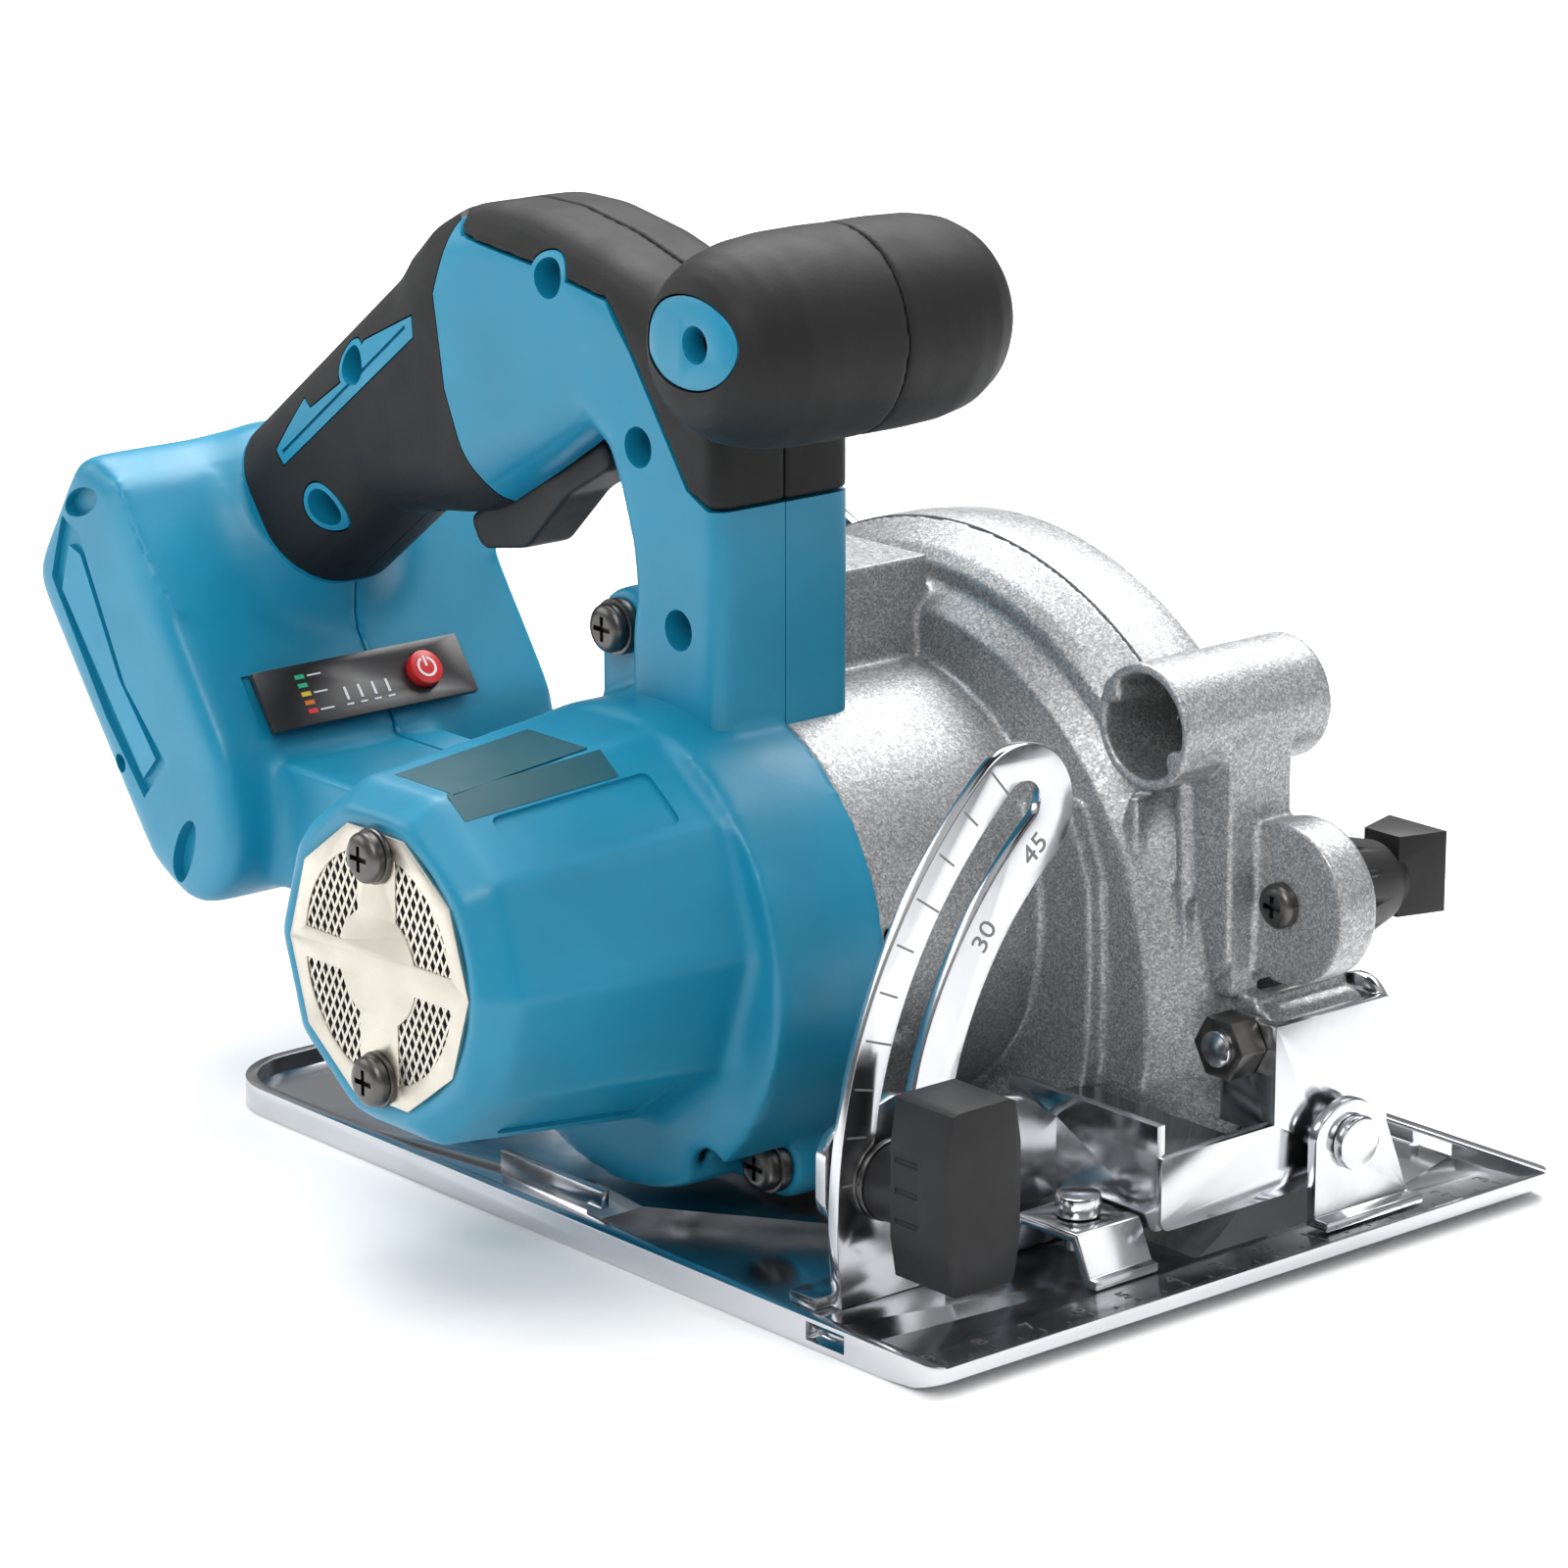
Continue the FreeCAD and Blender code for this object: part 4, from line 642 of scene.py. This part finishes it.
def softened(shell, passes, factor, low, high, chosen=None):
    """Rounds the shell's edges, but keeps the rim that meets the other shell, where it must stay flat."""
    points = coords(shell)
    step = shell.modifiers.new("round", "SMOOTH")
    if chosen is not None:
        group = shell.vertex_groups.new(name="chosen")
        group.add([int(i) for i in np.nonzero(chosen)[0]], 1.0, "REPLACE")
        step.vertex_group = "chosen"
    step.iterations = passes
    step.factor = factor
    apply_all(shell)
    away = eased(np.abs(points[:, 1] - SEAM_Y), low, high)[:, None]
    set_coords(shell, coords(shell) * away + points * (1 - away))
    return shell


def dock_marks(shell):
    """Recesses in the dock's right side: a long panel, two finger slots and a small hole."""
    long_panel = [(-60.5, -147), (-51, -154), (-48, -149), (-52.5, -122), (-50, -106), (-60, -104),
                  (-61.5, -120)]
    inner_panel = [(-59.5, -144), (-52.5, -149), (-50.5, -146), (-54, -124), (-53, -108), (-58.5, -107)]
    combine(shell, prism("panel", "y", (-96, -92.7), [dock_point(*p) for p in long_panel]), "DIFFERENCE")
    raised = prism("inner_panel", "y", (-93.6, -92), [dock_point(*p) for p in inner_panel])
    combine(shell, raised, "UNION")
    for (n, t), (long, wide), lean in (((-44, -153), (5.5, 2.4), 20), ((-55, -91.5), (6.5, 2.6), 65)):
        x, z = dock_point(n, t)
        oval = turned("finger_slot", "z", (0, 0), [(-2.2, 1), (2.2, 1)], 32)
        oval.data.transform(Matrix.Diagonal((long, wide, 1, 1)))
        a = math.radians(lean)
        combine(shell, placed(oval, lying((math.cos(a), 0, math.sin(a)), (-math.sin(a), 0, math.cos(a))),
                              (x, -94, z)), "DIFFERENCE")
    return drilled(shell, (-96, -90), [dock_point(-63, -112)], 1.7)


def housing(side, solid):
    """One blue shell: the handle's blue parts, the dock and, on the right, the motor barrel."""
    node = f"{side}_housing"
    shell = remeshed(copy_of(node), 0.8, 0)
    combine(shell, prism("handle_room", "y", (-75, -41), HANDLE_ROOM), "DIFFERENCE")
    remeshed(shell, 0.8, 0)
    softened(shell, 9, 0.7, 0.5, 2.5)
    along = coords(shell) @ np.array([GRIP_COS, 0, GRIP_SIN])
    softened(shell, 70, 0.7, 1.5, 7, along < -33)
    handle = half_of(solid, side, "handle_half")
    for zone in (GRIP_ZONE, TOP_ZONE):
        combine(handle, prism("zone", "y", (-100, 0), zone), "DIFFERENCE")
    if side == "right":
        for spot in GRIP_SCREWS + [TOP_SCREW]:
            ring = half_of(solid, side, "screw_ring")
            combine(ring, turned("ring_limit", "y", spot, [(-90, 4.3), (SEAM_Y, 4.3)], 32), "INTERSECT")
            combine(handle, ring, "UNION")
        inset = half_of(solid, side, "inset")
        combine(inset, prism("inset_limit", "y", (-90, SEAM_Y - 4), INSET), "INTERSECT")
        combine(handle, inset, "UNION")
        drilled(handle, (-90, -64), GRIP_SCREWS + [TOP_SCREW] + SHELL_SCREWS, 3.3)
        groove = prism("groove", "y", (-90, -71.2), [(-63.2, 132.6), (-98.2, 106.0), (-98.6, 106.5),
                                                     (-63.6, 133.1)])
        combine(handle, groove, "DIFFERENCE")
    combine(shell, handle, "UNION")
    set_coords(shell, dock_shape(coords(shell)))
    if side == "right":
        facet_recess(shell, 54, -7.5, 3.2, (-116, -86.5))
        facet_recess(shell, -54, -6.5, 6.5, (-114, -87))
        dock_marks(shell)
        drilled(shell, (-90, -66.3), [(22, 10.5), (-15, 91), (-37, 26)], 4.9)
    else:
        drilled(shell, (-50, -40), [(-44, 146)], 3.5)
    at, turn = dock_frame(-33.5, -106.5, -62.5)
    seat = box("panel_seat", (-6.1, 6.1), (-22.1, 22.1), (-0.6, 9))
    combine(shell, placed(seat, turn, at), "DIFFERENCE")
    return stand_for(smooth_by_angle(shell, 40), node)


# ------------------------------------------------------- gear case and metal
def gear_case():
    """The casting, with its raised pad, crease band, ribs, vents and tube lugs."""
    case = copy_of("gear_case")
    arbor = (0, 32)
    crease = [(-15.8, 64.4), (-13.5, 66.6), (-8.6, 69.6), (-8.6, 60), (-15.8, 60)]
    band = turned("band", "y", arbor, crease, 128)
    upper = prism("band_limit", "y", (-30, 0), [(-75, 40), (-75, 110), (60, 110), (46, 66), (0, 60)])
    combine(case, combine(band, upper, "INTERSECT"), "UNION")
    pad = prism("pad", "y", (-23.4, -17), [(30, 60), (35.3, 66.4), (43.2, 65.8), (47.9, 54), (48.6, 38),
                                           (48, 24), (44, 8), (22, 7), (22.2, 24), (34, 40)])
    combine(case, pad, "UNION")
    front_ribs = [((52.6, 8), (55.0, 8), (53.4, 68), (51.4, 68)),
                  ((60.2, 36), (62.4, 36), (60.6, 74), (58.8, 74)),
                  ((56, 74), (70.2, 80), (70.2, 44), (66.6, 40))]
    for rib, ys in zip(front_ribs, ((-18.6, -11), (-15.6, -9), (-14.4, -8))):
        combine(case, prism("rib", "y", ys, rib), "UNION")
    for x, z in ((53.0, 86.5), (67.0, 77.5)):
        lug = turned("tube_lug", "y", (x, z), [(-24, 2.0), (-14, 2.0)], 24)
        combine(case, lug, "UNION")
    for x, z in ((1.0, 82.0), (-6.5, 82.0)):
        combine(case, box("vent", (x, x + 5.2), (-57.6, -49.5), (z - 4.5, z + 2.0)), "DIFFERENCE")
    for z in (30, 47, 64):
        combine(case, box("vent", (34.2, 41), (-56.5, -50), (z, z + 3.4)), "DIFFERENCE")
    remeshed(case, 0.55, 3, 0.55)
    stand_for(smooth_by_angle(case, 50), "gear_case")


def cross_recess(piece, at_y, spot, size=1.9, deep=1.1):
    """A cross-shaped driver recess in a screw head that faces the saw's right."""
    x, z = spot
    for half in ((size, 0.42), (0.42, size)):
        slot = box("recess", (x - half[0], x + half[0]), (at_y - 1, at_y + deep), (z - half[1], z + half[1]))
        combine(piece, slot, "DIFFERENCE")
    return piece


def screws():
    """Domed heads with driver recesses on every screw that faces the saw's right."""
    heads = {
        "handle_screws": (-66.25, 3.05, GRIP_SCREWS + [TOP_SCREW] + SHELL_SCREWS),
        "flange_screws": (-70.5, 3.95, [(22, 10.5), (-15, 91), (-37, 26)]),
        "end_plate_screws": (-130.2, 3.95, [(0, 67.8), (0, 32.2)]),
        "nose_screw": (-10.9, 3.55, [(76, 54)]),
    }
    for node, (y, radius, spots) in heads.items():
        piece = copy_of(node)
        for spot in spots:
            around = turned("around", "y", spot, [(y - 1, radius + 1.2), (y + 1.2, radius + 1.2)], 32)
            dome = turned("dome", "y", spot, [(y - 1.5, 0.3), (y, radius * 0.62), (y + 0.35, radius * 0.86),
                                              (y + 0.8, radius * 0.98), (y + 1.3, radius + 0.05)], 32)
            combine(piece, combine(around, dome, "DIFFERENCE"), "DIFFERENCE")
            cross_recess(piece, y, spot, radius * 0.52)
        stand_for(smooth_by_angle(piece, 40), node)


def end_plate():
    """Nickel plate with its four windows, the diamond mesh behind them, and a dark disc of painted shade
    behind the mesh.
    """
    stand_for(bevelled(copy_of("motor_end_plate"), 0.12), "motor_end_plate")
    # A thin near-black disc just behind the mesh: painted shade standing in for the shaded motor inside.
    back = turned("painted_shade_disc", "y", (0, BARREL_Z), [(-126.35, 18.9), (-126.2, 18.9)], 64)
    extra(back, "saw", "mesh_dark")
    strands = bmesh.new()
    reach, pitch, width = 18.6, 1.75, 0.26
    strand_y, strand_step, strand_depth = -126.75, 0.06, 0.25
    for lean in (28, -28):
        a = math.radians(90 + lean)
        along, across = (math.cos(a), math.sin(a)), (-math.sin(a), math.cos(a))
        for i in range(-12, 13):
            shift = i * pitch * 0.92
            if abs(shift) > reach:
                continue
            run = math.sqrt(reach ** 2 - shift ** 2)
            corners = []
            for end in (-run, run):
                for side in (-width, width):
                    corners.append((along[0] * end + across[0] * (shift + side),
                                    along[1] * end + across[1] * (shift + side)))
            order = (corners[0], corners[1], corners[3], corners[2])
            y = strand_y + strand_step * (lean > 0)
            front, rear = [[strands.verts.new((x * MM, face_y * MM, (z + BARREL_Z) * MM)) for x, z in order]
                           for face_y in (y, y + strand_depth)]
            strands.faces.new(front)
            strands.faces.new(list(reversed(rear)))
            for k in range(4):
                strands.faces.new((front[k], rear[k], rear[(k + 1) % 4], front[(k + 1) % 4]))
    bmesh.ops.recalc_face_normals(strands, faces=strands.faces)
    extra(from_bmesh("mesh_wire", strands), "saw", "nickel_sheet")


def bevel_scale():
    """Ticks every five degrees on the quadrant's outer edge, and its figures."""
    face_x, hinge_z = 61.2, 15.5
    for i in range(10):
        a = math.radians(175.9 - 5 * i)
        out = Vector((0, math.cos(a), math.sin(a)))
        run = 5.4 if i % 3 == 0 else 3.8
        at = Vector((face_x + 0.02, 0, hinge_z)) + out * (86.6 - run / 2)
        bar_mark("tick", (run, 0.34, 0.1), at, lying(out, out.cross(Vector((1, 0, 0)))), "base", "scale_grey")
    for text, degrees in (("45", 132.6), ("30", 145.5)):
        a = math.radians(degrees)
        out = Vector((0, math.cos(a), math.sin(a)))
        at = Vector((face_x + 0.02, 0, hinge_z)) + out * 70.2
        lettering("figure", text, 5.0, at, lying(out.cross(Vector((1, 0, 0))), out), "base", "scale_grey")


def base_scale():
    """The centimetre figures and marks engraved along the base's turned-up front lip."""
    lip_x, base_top, rise = 82, 2.0, 0.6 / 7
    figure_x, edge_x, proud = 84.9, 88.8, 0.03

    def on_lip(x, y):
        return (x, y, base_top + rise * (x - lip_x) + proud)
    for i in range(-9, 4):
        turn = lying((0, 1, 0), (-1, 0, -rise))
        lettering("figure", str(abs(i)), 4.2, on_lip(figure_x, 10.0 * i), turn, "base", "dark_print")
    for i in range(-18, 7):
        run = 1.6 if i % 2 == 0 else 1.0
        bar_mark("mark", (run, 0.22, 0.08), on_lip(edge_x - run / 2, 5.0 * i), lying((1, 0, rise), (0, 1, 0)),
                 "base", "dark_print")


def status_marks():
    """The gauge on the dock: bezel, lamp marks and the switch's power sign."""
    face = -30.96

    def spot(t, y, n=face):
        x, z = dock_point(n, t)
        return (x, y, z)
    turn = lying((0, 1, 0), (-GRIP_SIN, 0, GRIP_COS))
    colours = ("green_mark", "green_mark", "yellow_mark", "amber_mark", "red_plastic")
    for i, colour in enumerate(colours):
        bar_mark("lamp", (1.9, 0.8, 0.08), spot(-109.7 + i * 1.6, -75.2), turn, "saw", colour)
        if i % 2 == 0:
            bar_mark("dash", (2.8, 0.28, 0.08), spot(-109.7 + i * 1.6, -72.2), turn, "saw", "white_print")
    for i in range(4):
        bar_mark("level", (0.5, 2.4, 0.08), spot(-105.2, -67.4 + 2.9 * i), turn, "saw", "white_print")
        bar_mark("level_dot", (1.4, 0.3, 0.08), spot(-103.2, -67.4 + 2.9 * i), turn, "saw", "white_print")
    button = -29.38
    x, z = dock_point(button, -106.5)
    sign = turned("power_ring", "z", (0, 0), [(-0.04, 1.9), (0.04, 1.9)], 40)
    combine(sign, turned("ring_room", "z", (0, 0), [(-1, 1.45), (1, 1.45)], 40), "DIFFERENCE")
    combine(sign, box("ring_gap", (-0.6, 0.6), (0.8, 3), (-1, 1)), "DIFFERENCE")
    extra(placed(sign, turn, (x, -50.6, z)), "power", "white_print")
    x, z = dock_point(button, -107.6)
    bar_mark("power_line", (0.42, 2.0, 0.08), (x, -50.6, z), turn, "power", "white_print")


def lock_knob():
    """Knob with bevelled ends and flutes across its long faces."""
    y, z = -77.3, 21.04
    knob = copy_of("bevel_lock_knob")
    for i in range(-2, 3):
        groove = turned("flute", "x", (y - 7.6, z + 2.5 + 4.8 * i), [(71, 0.5), (76, 0.5)], 16)
        combine(knob, groove, "DIFFERENCE")
    for side in (-1, 1):
        edge = [(12, -13), (12, 18), (6.0, 18), (7.4, 10), (7.4, -5), (6.0, -13)]
        wedge = prism("knob_side", "x", (69, 84), [(y + side * across, z + up) for across, up in edge])
        combine(knob, wedge, "DIFFERENCE")
    stand_for(bevelled(knob, 0.55, 2, 25), "bevel_lock_knob")


def nose():
    """The paddle that flares from its neck to its tip, behind a ribbed collar."""
    x, z = 76, 54
    neck = turned("nose_knob_skin", "y", (x, z), [(12.55, 5.2), (14.6, 5.2), (16, 4.4)], 40)
    half, low, high = 6.3, z - 5.6, z + 7.6
    blade = prism("paddle", "y", (13.6, 21.9), [(x - half, low), (x + half, low), (x + half, high),
                                                (x - half, high)])
    for side in (-1, 1):
        edge = [(3.6, 13), (6.4, 22.5), (9, 22.5), (9, 13)]
        taper = prism("taper", "z", (z - 20, z + 20), [(x + side * across, y) for across, y in edge])
        combine(blade, taper, "DIFFERENCE")
    combine(neck, blade, "UNION")
    stand_for(bevelled(neck, 0.5, 2, 30), "nose_knob")
    collar = copy_of("knob_collar")
    notches, notch_ring = 12, 9.0
    for i in range(notches):
        a = 2 * math.pi * i / notches
        at = (x + notch_ring * math.cos(a), z + notch_ring * math.sin(a))
        combine(collar, turned("notch", "y", at, [(3, 0.7), (13, 0.7)], 12), "DIFFERENCE")
    stand_for(bevelled(collar, 0.25, 1, 30), "knob_collar")


def label():
    """A blank dark ground where the motor's rating label sits, folded over two facets."""
    for angle, low, high, span in ((90, -9.3, 5.4, (-119, -93)), (54, 3.7, 9.3, (-120, -91.5))):
        at, turn = facet_frame(angle, (low + high) / 2, sum(span) / 2)
        run, rise = (span[1] - span[0]) / 2, (high - low) / 2
        corners = [(-run, -rise), (run, -rise), (run, rise), (-run, rise)]
        ground = prism("label_ground", "z", (-0.02, 0.06), corners)
        extra(placed(ground, turn, at), "saw", "label_teal")


# -------------------------------------------------------------------- pieces
SHEET_METAL = {
    "base_plate": 0.5, "bevel_quadrant": 0.3, "front_hinge_ear": 0.35, "rear_hinge_ear": 0.35,
    "fence_clamp": 0.25, "tilt_bracket": 0.5, "depth_guide": 0.3,
    "hinge_rivets": 0.5, "pivot_nut": 0.35, "fence_clamp_screw": 0.4, "pivot_bolt": 0.4,
    "saw_blade": 0.12, "outer_flange": 0.3, "inner_flange": 0.3, "blade_bolt": 0.4, "lower_guard": 0.4,
    "guard_lever": 0.8, "bevel_lock_bolt": 0.3, "bevel_lock_washer": 0.2,
    "depth_lock_bolt": 0.4, "depth_lock_lever": 0.8, "screw_washers": 0.25,
    "status_panel": 0.3, "power_button": 0.3, "lock_off_button": 0.5, "blade_cover": 0.6,
}
for node, width in SHEET_METAL.items():
    stand_for(bevelled(copy_of(node), width), node)
stand_for(smooth_by_angle(remeshed(copy_of("trigger"), 0.5), 60), "trigger")

solid = handle_solid()
rubber_parts(solid)
front_handle()
for side in ("right", "left"):
    housing(side, solid)
bpy.data.objects.remove(solid)
gear_case()
screws()
end_plate()
bevel_scale()
base_scale()
status_marks()
lock_knob()
nose()
label()

for node in NODES:
    if node not in detailed:
        NODES[node].data.materials.clear()
        NODES[node].data.materials.append(MATERIALS[SLOT_OF[node]])


# --------------------------------------------------------------------- stage
def floor_material():
    s = Shader("floor", roughness=0.6)
    pale = [(0.3, (0.86, 0.86, 0.86)), (0.7, (0.9, 0.9, 0.9))]
    s.link(s.ramp(s.noise(3, 2), pale), s.bsdf.inputs["Base Color"])
    s.bump((s.noise(900, 2), 0.03, 0.05))
    return s.material


def floor():
    """A pale board with a pit under the base, where the blade and its guard hang."""
    outer, top, pit = 3000, -0.05, -70
    hole = (-78, 84, -45, 32)
    bm = bmesh.new()

    def ring(x0, x1, y0, y1, z):
        return [bm.verts.new((x * MM, y * MM, z * MM)) for x, y in ((x0, y0), (x1, y0), (x1, y1), (x0, y1))]
    wide = ring(-outer, outer, -outer, outer, top)
    rim = ring(*hole, top)
    deep = ring(*hole, pit)
    for i in range(4):
        j = (i + 1) % 4
        bm.faces.new((wide[i], wide[j], rim[j], rim[i]))
        bm.faces.new((rim[i], rim[j], deep[j], deep[i]))
    bm.faces.new(deep)
    board = from_bmesh("floor", bm)
    board.data.materials.append(floor_material())


def softbox(name, at, aim, size, power):
    """A large soft lamp at a place in millimetres, pointed at another."""
    lamp = bpy.data.lights.new(name, "AREA")
    lamp.shape = "RECTANGLE"
    lamp.size, lamp.size_y = size[0] * MM, size[1] * MM
    lamp.energy = power
    thing = bpy.data.objects.new(name, lamp)
    bpy.context.scene.collection.objects.link(thing)
    thing.location = Vector(at) * MM
    thing.rotation_euler = (Vector(aim) - Vector(at)).to_track_quat("-Z", "Y").to_euler()


def studio():
    """A sky that darkens towards the horizon, so that bright plating has something dark to reflect."""
    world = bpy.data.worlds.new("studio")
    world.use_nodes = True
    tree = world.node_tree
    place = tree.nodes.new("ShaderNodeTexCoord")
    split = tree.nodes.new("ShaderNodeSeparateXYZ")
    ramp = tree.nodes.new("ShaderNodeValToRGB")
    first, last = ramp.color_ramp.elements
    first.position, first.color = 0.02, (0.10, 0.105, 0.115, 1)
    last.position, last.color = 0.75, (1.0, 1.0, 1.0, 1)
    tree.links.new(place.outputs["Generated"], split.inputs["Vector"])
    tree.links.new(split.outputs["Z"], ramp.inputs["Fac"])
    tree.links.new(ramp.outputs["Color"], tree.nodes["Background"].inputs["Color"])
    tree.nodes["Background"].inputs["Strength"].default_value = 0.62
    bpy.context.scene.world = world
    softbox("key", (500, -900, 900), (0, -40, 60), (600, 600), 6.5)
    softbox("left_fill", (-900, -700, 500), (0, -40, 60), (800, 500), 3.6)
    softbox("front_fill", (900, 500, 500), (20, 0, 50), (500, 600), 1.2)
    softbox("top", (-100, 0, 1100), (0, 0, 0), (900, 900), 4.6)
    softbox("backdrop", (-700, 900, 1400), (-900, 1100, 0), (1800, 1800), 60)


def camera():
    """The view from the saw's front right, slightly above it."""
    view = bpy.data.cameras.new("camera")
    view.sensor_width = 36
    view.lens = 128.25
    view.clip_start, view.clip_end = 0.01, 20
    thing = bpy.data.objects.new("camera", view)
    bpy.context.scene.collection.objects.link(thing)
    right = Vector((0.653, 0.757, 0)).normalized()
    up = Vector((-0.2036, 0.1757, 0.963)).normalized()
    turn = Matrix((right, up, right.cross(up))).transposed()
    thing.matrix_world = Matrix.Translation(Vector((654.7, -610.0, 305.6)) * MM) @ turn.to_4x4()
    bpy.context.scene.camera = thing
    bpy.context.scene.view_settings.view_transform = "Standard"


floor()
studio()
camera()
